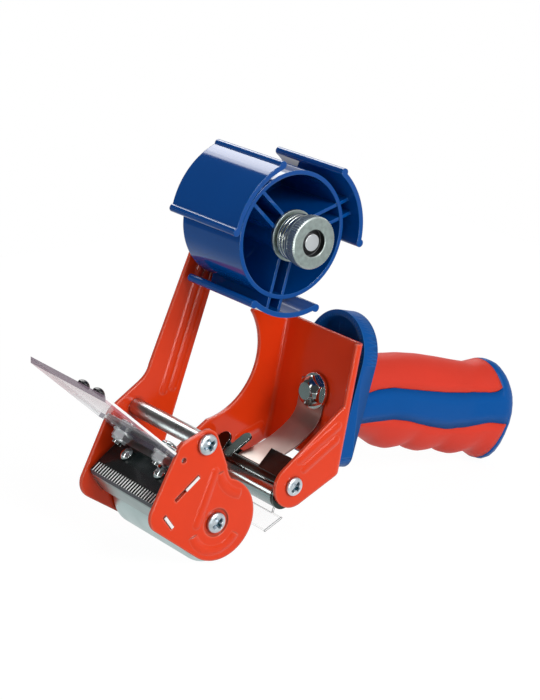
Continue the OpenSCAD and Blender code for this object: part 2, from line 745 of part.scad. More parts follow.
// A ring past the grips' end, on the way to the heel's rounded face
function heel_ring(t) =
    [for (a = ring_angles(stripe_angle(station(1, 0), true), stripe_angle(station(1, 0), false)))
        skin(grip_end(a) + (handle_end - grip_end(a)) * t, a, 0)];

end_ring = [for (p = heel_ring(1)) handle_point(p)];
handle_end_x = max([for (p = end_ring) p.x]);
mid_x = (handle_end_x + flap_tip_x) / 2;

// Hollow hand guard behind the rear wall: a round arch with a rounded foot
module guard_outline(inset) {
    half = guard_half - inset;
    low_r = foot_r - inset;
    translate([0, guard_top - guard_half]) circle(half);
    for (side = [NEAR, FAR]) translate([side * (half - low_r), guard_foot + inset + low_r]) circle(low_r);
    translate([low_r - half, guard_foot + inset]) square([2 * (half - low_r), low_r + 1]);
    translate([-half, guard_foot + inset + low_r])
        square([2 * half, guard_top - guard_foot - inset - low_r - guard_half]);
}

// Bore for the handle bolt, as a ring square to the wall at a depth behind the wall's front face
function bore_start() =
    let (off = [wall_at.x - handle_at.x + bolt_z * sin(wall_lean), wall_at.y - handle_at.y + bolt_z * cos(wall_lean)])
    [off.x * cos(handle_slope) - off.y * sin(handle_slope), off.x * sin(handle_slope) + off.y * cos(handle_slope)];
function bore_ring(depth) =
    let (lean = handle_slope - wall_lean, r = bolt_r + 0.15, start = bore_start())
    [for (a = ring_angles(bore_at_angle, bore_at_angle))
        [start.x + depth * cos(lean) - r * sin(a) * sin(lean), bolt_y - r * cos(a),
            start.y + depth * sin(lean) + r * sin(a) * cos(lean)]];
bore_at_angle = 22;

// From the handle's frame to the side view, for solids
module on_handle() translate([handle_at.x, 0, handle_at.y]) rotate([0, handle_slope, 0]) children();

module handle_body() seat() color(BLUE) {
    ring_n = len(heel_ring(1));
    bore_mouth = (guard_back - guard_t / 2) - bore_start().x;
    difference() {
        on_handle() {
            translate([guard_back, guard_y, 0]) rotate([90, 0, 90]) difference() {
                translate([0, 0, -guard_depth]) linear_extrude(guard_depth) guard_outline(0);
                translate([0, 0, -guard_depth - guard_t]) linear_extrude(guard_depth) guard_outline(guard_t);
            }
            translate([guard_back - guard_t / 2 - boss_reach, bolt_y, bore_start().y]) rotate([0, 90, 0])
                cylinder(r = 2 * bolt_r, h = boss_reach);
        }
        on_wall() translate([-100, -100, -100]) cube([100 + sheet_t + seat_gap, 200, 200]);
        on_wall() translate([0, bolt_y, bolt_z]) rotate([0, 90, 0]) cylinder(r = bolt_r + 0.8, h = bolt_l);
    }
    loft(concat([bore_ring(bolt_l), bore_ring(bore_mouth)],
        [[for (q = body_ring(0, grip_t)) [guard_back - guard_t / 2, q.y, q.z]]],
        [for (i = [0 : grip_rings]) body_ring(i / grip_rings, grip_t)],
        [for (i = [0 : end_rings]) heel_ring(max(0.01, sin(90 * i / end_rings)))]),
        [[for (j = [0 : ring_n - 1]) j]]);
}

// A soft grip fills the seat between two stripe edges, from the first angle to the last
module soft_grip(upper) {
    n = arc_steps + 1;
    function ring(t) =
        let (mid = station(t, 0), edge = stripe_angle(mid, upper) + 2 * edge_play,
            first = upper ? edge : 180 + edge, span = 180 - 2 * edge,
            angles = [for (i = [0 : arc_steps]) first + span * i / arc_steps])
        concat(
            [for (a = angles) skin(station(t, a), a, 0)],
            [for (i = [arc_steps : -1 : 0]) skin(station(t, angles[i]), angles[i], grip_t - seat_gap)]);
    cap = [for (i = [0 : arc_steps - 1]) each [[i, i + 1, 2 * n - 2 - i], [i, 2 * n - 2 - i, 2 * n - 1 - i]]];
    seat() color(RED) loft([for (i = [0 : grip_rings]) ring(0.002 + 0.996 * i / grip_rings)], cap);
}
module upper_grip() soft_grip(true);
module lower_grip() soft_grip(false);

// Tape hub
hub_far = half_gap - 2.9;
hub_near = hub_far - 2 * (tape_w / 2 - 0.3);
drum_near = -19;
drum_r = drum_d / 2;
wing_r = core_d / 2;
vane_t = 2.4;
wing_mid = 18;
web_mid = 15;
boss_r = 9;
back_r = drum_r - 0.4;
back_t = 2.4;

module tape_hub() seat() color(BLUE) {
    boss_near = -18.5;
    web_t = 1.6;
    bead_r = 1.9;
    translate([hub_at.x, 0, hub_at.y]) difference() {
        union() {
            slab(drum_near, hub_far) difference() {
                circle(drum_r);
                circle(drum_r - drum_t);
            }
            slab(hub_far - back_t, hub_far) circle(back_r);
            slab(boss_near, hub_far) circle(boss_r);
            for (turn = [0, 120, 240]) {
                slab(boss_near, hub_far) rotate(web_mid + turn) for (side = [-1, 1])
                    translate([boss_r - 2, side * (web_gap + web_t) / 2 - web_t / 2])
                        square([wing_r - vane_t / 2 - boss_r + 2, web_t]);
                slab(hub_near, hub_far) rotate(wing_mid + turn) {
                    arc_strip([0, 0], wing_r - vane_t / 2, vane_t, -wing_span / 2, wing_span / 2);
                    for (side = [-1, 1]) rotate(side * wing_span / 2) translate([wing_r - 0.5, 0]) circle(bead_r);
                }
            }
        }
        slab(hub_near - past, hub_far + past) circle(axle_r + run_gap);
    }
}

// Axle bolt: its head lies outside the arm, its end shows in the brake nut
axle_end = -33.6;
hex_h = 5.75;
module hub_axle() seat() color(CHROME) {
    bar_y(hub_at, axle_r, axle_end, face_y);
    translate([hub_at.x, face_y + hex_h, hub_at.y]) rotate([90, 0, 0]) intersection() {
        cylinder(r = 7.5, h = hex_h, $fn = 6);
        translate([0, 0, 8.2]) sphere(9.6);
    }
}

module axle_lock_nut() seat() color(ZINC) translate([hub_at.x, half_gap, hub_at.y]) rotate([90, 0, 0]) difference() {
    nut_h = 2.5;
    cylinder(r = 7.5, h = nut_h, $fn = 6);
    translate([0, 0, -past]) cylinder(r = axle_r + run_gap, h = nut_h + 2 * past);
}

// Brake stack on the axle, from the hub's boss outwards
brake_start = -18.6;
brake_washer_t = 1.5;
spring_l = 8.5;
sleeve_l = 5.8;
press_t = 1.2;
nut_h = 5.2;
spring_from = brake_start - brake_washer_t;
spring_to = spring_from - spring_l;
nut_from = spring_to - press_t;

module ring_y(r, hole_r, y0, y1) difference() {
    bar_y(hub_at, r, y0, y1);
    bar_y(hub_at, hole_r, y0 - past, y1 + past);
}

module brake_washer() seat() color(CHROME) ring_y(12.2, axle_r + run_gap, spring_from, brake_start);
module brake_sleeve() seat() color(BLACK) ring_y(8.4, axle_r + run_gap, spring_from - sleeve_l, spring_from);
module pressure_washer() seat() color(CHROME) ring_y(12, axle_r + run_gap, nut_from, spring_to);

module brake_nut() seat() color(ZINC) difference() {
    knurls = 36;
    knurl_r = 0.45;
    nut_r = nut_d / 2;
    edge = 0.6;
    translate([hub_at.x, nut_from - seat_gap, hub_at.y]) rotate([90, 0, 0]) rotate_extrude()
        polygon([[axle_r + run_gap, 0], [nut_r - edge, 0], [nut_r, edge], [nut_r, nut_h - edge], [nut_r - edge, nut_h],
            [5.8, nut_h], [5.8, 2], [axle_r + run_gap, 2]]);
    for (i = [0 : knurls - 1])
        bar_y(hub_at + nut_r * [cos(360 * i / knurls), sin(360 * i / knurls)], knurl_r, nut_from - nut_h - past,
            nut_from + past);
}

// Round wire wound from one washer to the other, one closed tube
module brake_spring() {
    wire_r = wire_d / 2;
    coil_r = 10.2;
    sides = 6;
    rings_per_turn = 8;
    rings = ceil(spring_turns * rings_per_turn);
    from = spring_from - wire_r - seat_gap;
    to = spring_to + wire_r + seat_gap;
    pitch = (from - to) / spring_turns;
    echo(spring_gap = pitch - wire_d);
    function wire(i, j) =
        let (turn = 360 * spring_turns * i / rings, a = 360 * j / sides, r = coil_r + wire_r * cos(a))
        [hub_at.x + r * cos(turn), from + (to - from) * i / rings + wire_r * sin(a), hub_at.y + r * sin(turn)];
    points = [for (i = [0 : rings]) for (j = [0 : sides - 1]) wire(i, j)];
    skin_faces = [for (i = [0 : rings - 1]) for (j = [0 : sides - 1]) let (k = (j + 1) % sides)
        each [[i * sides + j, (i + 1) * sides + j, (i + 1) * sides + k],
            [i * sides + j, (i + 1) * sides + k, i * sides + k]]];
    caps = [[for (j = [0 : sides - 1]) j], [for (j = [sides - 1 : -1 : 0]) rings * sides + j]];
    seat() color(CHROME) polyhedron(points, concat(skin_faces, caps), convexity = 8);
}

main_frame();
near_side_plate();
upper_spacer_bar();
spacer_screw_near();
spacer_screw_far();
front_roller();
front_bush_near();
front_bush_far();
front_axle();
axle_screw_near();
axle_screw_far();
blade_carrier();
blade_cover();
cover_screw_near();
cover_screw_far();
serrated_blade();
clear_flap();
flap_screw_near();
flap_screw_far();
flap_nut_near();
flap_nut_far();
flap_rivet_inner();
flap_rivet_outer();
guide_bracket();
guide_roller();
guide_axle();
lug_screw_near();
lug_screw_far();
leaf_spring();
tape_stop();
handle_bolt();
bolt_washer();
handle_body();
upper_grip();
lower_grip();
tape_hub();
hub_axle();
axle_lock_nut();
brake_washer();
brake_sleeve();
brake_spring();
pressure_washer();
brake_nut();
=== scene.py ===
"""Hand-held packing tape dispenser: paint, plating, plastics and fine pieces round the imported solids."""

import json
import math

import bmesh
import bpy
from bpy.props import FloatProperty, FloatVectorProperty, IntProperty, PointerProperty
from mathutils import Matrix, Vector


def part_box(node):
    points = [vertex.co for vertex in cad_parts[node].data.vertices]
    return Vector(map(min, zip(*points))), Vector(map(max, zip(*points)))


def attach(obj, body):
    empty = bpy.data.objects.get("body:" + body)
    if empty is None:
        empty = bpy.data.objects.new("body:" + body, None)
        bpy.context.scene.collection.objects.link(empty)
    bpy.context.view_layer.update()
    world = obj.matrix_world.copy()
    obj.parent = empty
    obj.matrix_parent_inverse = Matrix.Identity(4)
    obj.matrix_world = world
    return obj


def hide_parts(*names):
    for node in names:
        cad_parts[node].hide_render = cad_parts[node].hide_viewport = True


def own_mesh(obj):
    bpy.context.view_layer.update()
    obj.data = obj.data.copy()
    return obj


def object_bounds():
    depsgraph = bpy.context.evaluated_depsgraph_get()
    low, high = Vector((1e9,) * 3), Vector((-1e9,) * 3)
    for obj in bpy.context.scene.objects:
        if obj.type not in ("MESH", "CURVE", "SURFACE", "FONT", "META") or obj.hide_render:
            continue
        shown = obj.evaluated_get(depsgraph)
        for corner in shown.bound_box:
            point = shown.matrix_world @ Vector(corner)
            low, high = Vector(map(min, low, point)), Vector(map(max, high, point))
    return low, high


bl_info = {
    "name": "Packing Tape Dispenser",
    "version": (1, 0, 0),
    "blender": (4, 5, 0),
    "location": "3D View > Sidebar > Dispenser",
    "description": "Dresses a hand-held packing tape dispenser with its finishes, springs, teeth and screws",
    "category": "Object",
}

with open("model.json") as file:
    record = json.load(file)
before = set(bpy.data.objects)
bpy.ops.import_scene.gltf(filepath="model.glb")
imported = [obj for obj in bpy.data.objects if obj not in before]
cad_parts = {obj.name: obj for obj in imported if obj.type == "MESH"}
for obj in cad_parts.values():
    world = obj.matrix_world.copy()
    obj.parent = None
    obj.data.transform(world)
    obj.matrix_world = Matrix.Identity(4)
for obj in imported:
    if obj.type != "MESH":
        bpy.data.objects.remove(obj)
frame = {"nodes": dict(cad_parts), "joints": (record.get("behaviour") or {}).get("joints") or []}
CAD_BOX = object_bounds()
NODES = frame["nodes"]
MM = 0.001
AXES = {j["name"]: Vector(j["pos_m"]) for j in frame["joints"] if j["type"] == "hinge"}
ROLLER = AXES["front_roller_spin"]
HUB = AXES["hub_spin"]
# Cutter and flap, in millimetres from the front roller's axis
RAMP_LOW = (-23.7, 16.2)
RAMP_TURN = math.radians(35.46)
BLADE_ROOT = 3.0
FLAP_NUT = (-21.3, 0.0, 34.3)
FLAP_NUT_SIDE = 16.3
FLAP_TURN = math.radians(138.0)
ACROSS = (0.0, 1.0, 0.0)
# Height of a cross recess head of radius 1
HEAD_HEIGHT = 0.5
FLOAT = "NodeSocketFloat"
COUNT = "NodeSocketInt"
VECTOR = "NodeSocketVector"
GEOMETRY = "NodeSocketGeometry"
PIECE = ("Piece", "NodeSocketObject", None)


def from_roller(x, y, z):
    """Point given in millimetres from the middle of the front roller's axis."""
    return ROLLER + MM * Vector((x, y, z))


def ramp_point(u, v, w):
    """Point on the cutter's ramp in millimetres: down the ramp, across it and square to it."""
    x = RAMP_LOW[0] - u * math.cos(RAMP_TURN) - w * math.sin(RAMP_TURN)
    z = RAMP_LOW[1] - u * math.sin(RAMP_TURN) + w * math.cos(RAMP_TURN)
    return from_roller(x, v, z)


def ramp_way():
    """Direction down the cutter's ramp."""
    return (ramp_point(1.0, 0.0, 0.0) - ramp_point(0.0, 0.0, 0.0)) / MM


# Node trees


def plug(tree, value, socket):
    """Sets a socket to a value, or links it to another socket."""
    if isinstance(value, bpy.types.NodeSocket):
        tree.links.new(value, socket)
    else:
        socket.default_value = value


def add(tree, kind, inputs=None, **settings):
    """New node with its settings and inputs."""
    node = tree.nodes.new(kind)
    for name, value in settings.items():
        setattr(node, name, value)
    for key, value in (inputs or {}).items():
        plug(tree, value, node.inputs[key])
    return node


def math_node(tree, operation, *values, clamp=False):
    """Result of one arithmetic step."""
    inputs = dict(enumerate(values))
    return add(tree, "ShaderNodeMath", inputs, operation=operation, use_clamp=clamp).outputs[0]


def dot_product(tree, first, second):
    """How far one direction runs along another."""
    inputs = {0: first, 1: second}
    return add(tree, "ShaderNodeVectorMath", inputs, operation="DOT_PRODUCT").outputs["Value"]


def mix_colour(tree, factor, first, second):
    """Colour between two others."""
    return add(tree, "ShaderNodeMix", {0: factor, 6: first, 7: second}, data_type="RGBA").outputs[2]


def mix_value(tree, factor, first, second):
    """Value between two others."""
    return add(tree, "ShaderNodeMix", {0: factor, 2: first, 3: second}, data_type="FLOAT").outputs[0]


def ramp(tree, value, start, end):
    """Smooth step from 0 at the start to 1 at the end."""
    inputs = {"Value": value, "From Min": start, "From Max": end}
    return add(tree, "ShaderNodeMapRange", inputs, interpolation_type="SMOOTHSTEP").outputs[0]


def overlap(tree, *steps):
    """Product of smooth steps, each given as a value, a start and an end."""
    whole = ramp(tree, *steps[0])
    for step in steps[1:]:
        whole = math_node(tree, "MULTIPLY", whole, ramp(tree, *step))
    return whole


def own_place(tree):
    """The part's own coordinates."""
    return add(tree, "ShaderNodeTexCoord").outputs["Object"]


def noise(tree, place, scale, detail):
    """Noise at a place."""
    inputs = {"Vector": place, "Scale": scale, "Detail": detail}
    return add(tree, "ShaderNodeTexNoise", inputs).outputs["Fac"]


def new_group(name, kind, inputs, outputs):
    """Node group with named sockets: the tree, its inputs and its outputs."""
    tree = bpy.data.node_groups.new(name, kind)
    for label, socket, default in inputs:
        made = tree.interface.new_socket(label, in_out="INPUT", socket_type=socket)
        if default is not None:
            made.default_value = default
    for label, socket in outputs:
        tree.interface.new_socket(label, in_out="OUTPUT", socket_type=socket)
    return tree, tree.nodes.new("NodeGroupInput").outputs, tree.nodes.new("NodeGroupOutput").inputs


def shader_group(name, inputs, outputs):
    return new_group(name, "ShaderNodeTree", inputs, outputs)


def edge_catch_group():
    """Rounds sharp edges for the light and marks them, for worn paint and a painted highlight on edges, and
    painted shade on clear ones.
    """
    tree, given, result = shader_group(
        "edge_catch",
        [("Radius", FLOAT, 0.0004), ("Spread", FLOAT, 0.12)],
        [("Mask", FLOAT), ("Normal", VECTOR)],
    )
    rounded = add(tree, "ShaderNodeBevel", {"Radius": given["Radius"]}, samples=8).outputs["Normal"]
    facing = add(tree, "ShaderNodeNewGeometry").outputs["Normal"]
    turned = math_node(tree, "SUBTRACT", 1.0, dot_product(tree, rounded, facing))
    plug(tree, math_node(tree, "DIVIDE", turned, given["Spread"], clamp=True), result["Mask"])
    plug(tree, rounded, result["Normal"])
    return tree


def grain_group():
    """Fine moulded or sprayed grain in the part's own coordinates."""
    tree, given, result = shader_group(
        "fine_grain",
        [("Scale", FLOAT, 900.0), ("Detail", FLOAT, 2.0)],
        [("Height", FLOAT)],
    )
    plug(tree, noise(tree, own_place(tree), given["Scale"], given["Detail"]), result["Height"])
    return tree


def handling_group():
    """Slow change of gloss and shade from handling and dust, between a low and a high value."""
    tree, given, result = shader_group(
        "handling_marks",
        [("Scale", FLOAT, 40.0), ("Low", FLOAT, 0.2), ("High", FLOAT, 0.35)],
        [("Value", FLOAT), ("Cloud", FLOAT)],
    )
    spread = {"Value": noise(tree, own_place(tree), given["Scale"], 5.0), "From Min": 0.3, "From Max": 0.7}
    cloud = add(tree, "ShaderNodeMapRange", spread).outputs[0]
    span = {"Value": cloud, "To Min": given["Low"], "To Max": given["High"]}
    plug(tree, add(tree, "ShaderNodeMapRange", span).outputs[0], result["Value"])
    plug(tree, cloud, result["Cloud"])
    return tree


def brushed_group():
    """Fine lines left by turning, drawing or grinding, along the axis whose stretch is smallest."""
    tree, given, result = shader_group(
        "drawn_lines",
        [("Stretch", VECTOR, (1.0, 0.02, 1.0)), ("Scale", FLOAT, 2500.0)],
        [("Height", FLOAT)],
    )
    stretch = {0: own_place(tree), 1: given["Stretch"]}
    drawn = add(tree, "ShaderNodeVectorMath", stretch, operation="MULTIPLY").outputs[0]
    plug(tree, noise(tree, drawn, given["Scale"], 3.0), result["Height"])
    return tree


def recess_group():
    """Mask of narrow recesses, for painted shade where shade falls in them."""
    tree, given, result = shader_group("recess_shade", [("Distance", FLOAT, 0.0015)], [("Mask", FLOAT)])
    reach = {"Distance": given["Distance"]}
    open_share = add(tree, "ShaderNodeAmbientOcclusion", reach, samples=8).outputs["AO"]
    plug(tree, ramp(tree, open_share, 0.9, 0.55), result["Mask"])
    return tree


GROUPS = {}


def use_group(tree, name, **inputs):
    """Places a shared effect in a material: the outputs of its group node."""
    makers = {
        "edge_catch": edge_catch_group,
        "fine_grain": grain_group,
        "handling_marks": handling_group,
        "drawn_lines": brushed_group,
        "recess_shade": recess_group,
    }
    if name not in GROUPS:
        GROUPS[name] = makers[name]()
    node = tree.nodes.new("ShaderNodeGroup")
    node.node_tree = GROUPS[name]
    for key, value in inputs.items():
        plug(tree, value, node.inputs[key.capitalize()])
    return node.outputs


# Finishes


def new_material(name):
    material = bpy.data.materials.new(name)
    material.use_nodes = True
    material.node_tree.nodes.clear()
    return material, material.node_tree


def shade(material, look):
    """The material, given its surface."""
    tree = material.node_tree
    surface = add(tree, "ShaderNodeBsdfPrincipled", look)
    add(tree, "ShaderNodeOutputMaterial", {"Surface": surface.outputs[0]})
    return material


def bump(tree, height, strength, normal, distance=0.0002):
    """Normal with a fine relief on top of another normal."""
    inputs = {"Height": height, "Strength": strength, "Distance": distance, "Normal": normal}
    return add(tree, "ShaderNodeBump", inputs).outputs["Normal"]


def rgba(colour):
    return (*colour[:3], 1.0)


def blend_to(colour, other, share):
    return tuple(a + (b - a) * share for a, b in zip(rgba(colour), rgba(other)))


WHITE = (1.0, 1.0, 1.0)
BLACK = (0.0, 0.0, 0.0)
# Edge colour on black parts: a painted highlight
EDGE_GREY = (0.4, 0.42, 0.42)
ACRYLIC_IOR = 1.49
METAL_GRAIN = 1500.0
FINE_RELIEF = 0.0001


def coated(
    name,
    colour,
    edge,
    gloss,
    grain,
    depth,
    coat=0.0,
    shine=0.5,
    edge_radius=0.0006,
    edge_share=0.6,
    recess=None,
):
    """Painted or moulded finish: body colour, paler edges of thin paint with a painted highlight, painted
    shade in recesses, varying gloss and fine grain.
    """
    material, tree = new_material(name)
    rim = use_group(tree, "edge_catch", radius=edge_radius)
    marks = use_group(tree, "handling_marks", scale=35.0, low=gloss[0], high=gloss[1])
    body = mix_colour(tree, marks["Cloud"], rgba(colour), blend_to(colour, BLACK, 0.07))
    # Paler edges: thin paint, and a painted highlight along the rounded edges
    tint = mix_colour(tree, math_node(tree, "MULTIPLY", rim["Mask"], edge_share), body, rgba(edge))
    # Painted shade: narrow recesses darkened towards black
    if recess is not None:
        reach, share = recess
        painted_shade_share = math_node(tree, "MULTIPLY", use_group(tree, "recess_shade", distance=reach)["Mask"], share)
        tint = mix_colour(tree, painted_shade_share, tint, blend_to(colour, BLACK, 0.75))
    relief = use_group(tree, "fine_grain", scale=grain)
    look = {
        "Base Color": tint,
        "Roughness": marks["Value"],
        "Specular IOR Level": shine,
        "Coat Weight": coat,
        "Coat Roughness": 0.06,
        "Normal": bump(tree, relief["Height"], depth, rim["Normal"]),
    }
    return shade(material, look)


def plated(name, colour, gloss, lines=None, line_depth=0.05, cloud=(90.0, 0.12), painted_shade_colour=None):
    """Bare or plated metal: fine drawn lines, slight smears, paler edges that are partly polish and partly a
    painted highlight, and painted shade in recesses where a painted shade colour is given.
    """
    material, tree = new_material(name)
    rim = use_group(tree, "edge_catch", radius=0.0003)
    marks = use_group(tree, "handling_marks", scale=cloud[0], low=gloss[0], high=gloss[1])
    body = mix_colour(tree, marks["Cloud"], rgba(colour), blend_to(colour, BLACK, cloud[1]))
    # Paler edges: partly polish, partly a painted highlight
    tint = mix_colour(tree, rim["Mask"], body, blend_to(colour, WHITE, 0.35))
    # Painted shade in narrow recesses, such as a screw's cross
    if painted_shade_colour is not None:
        tint = mix_colour(tree, use_group(tree, "recess_shade")["Mask"], tint, rgba(painted_shade_colour))
    if lines is None:
        relief = use_group(tree, "fine_grain", scale=METAL_GRAIN)
    else:
        relief = use_group(tree, "drawn_lines", stretch=lines)
    look = {
        "Base Color": tint,
        "Metallic": 1.0,
        "Roughness": marks["Value"],
        "Normal": bump(tree, relief["Height"], line_depth, rim["Normal"], FINE_RELIEF),
    }
    return shade(material, look)


def face_share(tree, way, start, end):
    """How far a face looks along a direction or against it: 0 at the start, 1 at the end."""
    facing = add(tree, "ShaderNodeNewGeometry").outputs["Normal"]
    return ramp(tree, math_node(tree, "ABSOLUTE", dot_product(tree, facing, way)), start, end)


def depth_share(tree, way, start, end):
    """How far a point lies along a direction: 0 at the start, 1 at the end."""
    return ramp(tree, dot_product(tree, own_place(tree), way), start, end)


def stop_sheet():
    """Clear moulded tape stop: faces that hardly show, and painted shade that makes its edges look dark."""
    face = (0.8, 0.82, 0.84, 1.0)
    edge = (0.16, 0.17, 0.18, 1.0)
    material, tree = new_material("clear_plastic")
    marks = use_group(tree, "handling_marks", scale=60.0, low=0.03, high=0.1)
    rim = use_group(tree, "edge_catch", radius=0.0008, spread=0.05)
    # Edges get painted shade: dark and nearly opaque
    look = {
        "Base Color": mix_colour(tree, rim["Mask"], face, edge),
        "Roughness": marks["Value"],
        "IOR": ACRYLIC_IOR,
        "Alpha": mix_value(tree, rim["Mask"], 0.025, 0.9),
        "Normal": rim["Normal"],
    }
    return shade(material, look)


def flap_sheet():
    """The flap's clear sheet: hazy towards its tip with a painted pink reflection of the red frame, a painted
    white highlight on its side edges and a dark cut end of painted shade.
    """
    material, tree = new_material("clear_flap")
    along = Vector((math.cos(FLAP_TURN), 0.0, math.sin(FLAP_TURN)))
    square = Vector((math.sin(FLAP_TURN), 0.0, -math.cos(FLAP_TURN)))
    seat = from_roller(*FLAP_NUT)
    level = seat.dot(square)
    foot = seat.dot(along)
    marks = use_group(tree, "handling_marks", scale=60.0, low=0.03, high=0.1)
    haze_and_painted_reflection = depth_share(tree, along, foot + 16.0 * MM, foot + 36.0 * MM)
    top = depth_share(tree, square, level + 0.9 * MM, level + 1.4 * MM)
    # Painted highlight on the upper side edges; painted shade on the cut end
    side = math_node(tree, "MULTIPLY", face_share(tree, ACROSS, 0.6, 0.8), top)
    end = face_share(tree, along, 0.6, 0.8)
    # Colour and opacity by the foot, then towards the tip (haze with a painted pink reflection), on the side
    # edges (painted highlight) and on the cut end (painted shade)
    tint = (0.5, 0.5, 0.56, 1.0)
    cover = 0.24
    for share, colour, opacity in (
        (haze_and_painted_reflection, (0.6, 0.26, 0.33, 1.0), 0.42),
        (side, rgba(WHITE), 0.96),
        (end, (0.13, 0.11, 0.18, 1.0), 0.85),
    ):
        tint = mix_colour(tree, share, tint, colour)
        cover = mix_value(tree, share, cover, opacity)
    look = {"Base Color": tint, "Roughness": marks["Value"], "IOR": ACRYLIC_IOR, "Alpha": cover}
    return shade(material, look)


def moulded_cover():
    """Gloss black cover with a duller front face under the teeth and a painted grey highlight on its edges.
    """
    gloss_black = (0.007, 0.014, 0.014, 1.0)
    dull_black = (0.085, 0.09, 0.105, 1.0)
    material, tree = new_material("cutter_cover")
    front = face_share(tree, ramp_way(), 0.8, 0.95)
    rim = use_group(tree, "edge_catch", radius=0.0004)
    marks = use_group(tree, "handling_marks", scale=35.0, low=0.22, high=0.32)
    dull = mix_colour(tree, front, gloss_black, dull_black)
    # Grey edges: a painted highlight on the black cover
    painted_highlight_share = math_node(tree, "MULTIPLY", rim["Mask"], 0.5)
    look = {
        "Base Color": mix_colour(tree, painted_highlight_share, dull, rgba(EDGE_GREY)),
        "Roughness": mix_value(tree, front, marks["Value"], 0.5),
        "Normal": rim["Normal"],
    }
    return shade(material, look)


def sheared_zinc():
    """Dull zinc with bright sheared edges across the dispenser."""
    pale = (0.7, 0.77, 0.77, 1.0)
    dim = (0.62, 0.68, 0.68, 1.0)
    sheared = (0.95, 0.93, 0.92, 1.0)
    material, tree = new_material("sheared_zinc")
    marks = use_group(tree, "handling_marks", scale=60.0, low=0.36, high=0.46)
    rim = use_group(tree, "edge_catch", radius=0.0003)
    relief = use_group(tree, "fine_grain", scale=METAL_GRAIN)
    cut = face_share(tree, ACROSS, 0.8, 0.95)
    dull = mix_colour(tree, marks["Cloud"], pale, dim)
    look = {
        "Base Color": mix_colour(tree, cut, dull, sheared),
        "Metallic": mix_value(tree, cut, 1.0, 0.1),
        "Roughness": marks["Value"],
        "Normal": bump(tree, relief["Height"], 0.05, rim["Normal"], FINE_RELIEF),
    }
    return shade(material, look)


def ground_blade():
    """Blackened blade with teeth beyond the root line in bright ground steel, painted near white partly as a
    painted highlight.
    """
    blackened = (0.012, 0.013, 0.014, 1.0)
    bright = (0.95, 0.96, 0.96, 1.0)
    material, tree = new_material("blade_steel")
    along = ramp_way()
    root = ramp_point(BLADE_ROOT, 0.0, 0.0).dot(along)
    ground = depth_share(tree, along, root, root + 0.4 * MM)
    marks = use_group(tree, "handling_marks", scale=300.0, low=0.34, high=0.44)
    rim = use_group(tree, "edge_catch", radius=0.0001)
    lines = use_group(tree, "drawn_lines", stretch=(1.0, 0.05, 1.0))
    # Near-white teeth: bright ground steel and a painted highlight on their faces
    look = {
        "Base Color": mix_colour(tree, ground, blackened, bright),
        "Metallic": math_node(tree, "MULTIPLY", ground, 0.15),
        "Roughness": mix_value(tree, ground, 0.16, marks["Value"]),
        "Normal": bump(tree, lines["Height"], 0.04, rim["Normal"], FINE_RELIEF),
    }
    return shade(material, look)


# Name of the body colour, edge colour (thin paint with a painted highlight), gloss from and to, grain, its
# depth and what else differs
COATINGS = {
    "red_paint": (
        "red_paint",
        (1.0, 0.3, 0.2),
        (0.1, 0.17),
        700.0,
        0.04,
        # recess: reach and share of painted shade in the frame's hollows
        {"coat": 0.12, "shine": 0.3, "edge_radius": 0.0018, "edge_share": 0.3, "recess": (0.003, 0.45)},
    ),
    "hub_plastic": ("hub_blue", (0.01, 0.14, 0.42), (0.05, 0.09), 900.0, 0.012, {"edge_share": 0.4}),
    "blue_plastic": ("handle_blue", (0.05, 0.26, 0.66), (0.34, 0.44), 2600.0, 0.1, {"shine": 0.12}),
    "red_rubber": ("grip_red", (1.0, 0.16, 0.1), (0.44, 0.56), 3200.0, 0.2, {"shine": 0.3}),
    "black_nylon": ("black", (0.08, 0.08, 0.085), (0.4, 0.5), 1800.0, 0.1, {}),
    # Black rivets; the same finish paints the shade inside the brake nut's cup
    "black_cover": ("black", EDGE_GREY, (0.24, 0.34), 900.0, 0.01, {"edge_radius": 0.0004}),
}
# Lines turned round a roller or bar, and lines drawn along the leaf spring
TURNED = (1.0, 40.0, 1.0)
DRAWN = (0.03, 1.0, 0.03)
# Colour, gloss from and to, and what else differs
METALS = {
    "chrome": ((0.84, 0.88, 0.88), (0.05, 0.1), {}),
    "bolt_chrome": ((0.44, 0.47, 0.47), (0.05, 0.09), {"line_depth": 0.01}),
    # Guide bracket's chrome, darkened nearly to black as painted shade
    "dark_chrome": ((0.05, 0.066, 0.062), (0.12, 0.2), {"line_depth": 0.02}),
    "bright_chrome": ((0.86, 0.88, 0.9), (0.4, 0.5), {"cloud": (60.0, 0.06)}),
    "bar_chrome": ((0.5, 0.52, 0.52), (0.26, 0.34), {"lines": TURNED, "line_depth": 0.02}),
    "guide_steel": ((0.4, 0.46, 0.46), (0.14, 0.22), {"lines": TURNED, "line_depth": 0.02}),
    "spring_wire": ((0.62, 0.67, 0.66), (0.2, 0.28), {}),
    "zinc": ((0.64, 0.73, 0.7), (0.34, 0.44), {"cloud": (420.0, 0.3)}),
    # Screw zinc; its recess colour is painted shade in the cross
    "bright_zinc": (
        (0.86, 0.92, 0.98),
        (0.28, 0.4),
        {"cloud": (500.0, 0.18), "painted_shade_colour": (0.01, 0.09, 0.13)},
    ),
    "roller_zinc": ((0.86, 0.98, 0.98), (0.26, 0.36), {"lines": TURNED, "line_depth": 0.04}),
    "spring_steel": ((0.4, 0.36, 0.33), (0.36, 0.46), {"lines": DRAWN, "line_depth": 0.08}),
}
OTHER_MAKERS = {
    "sheared_zinc": sheared_zinc,
    "blade_steel": ground_blade,
    "cutter_cover": moulded_cover,
    "clear_plastic": stop_sheet,
    "clear_flap": flap_sheet,
}
FINISHES = {}


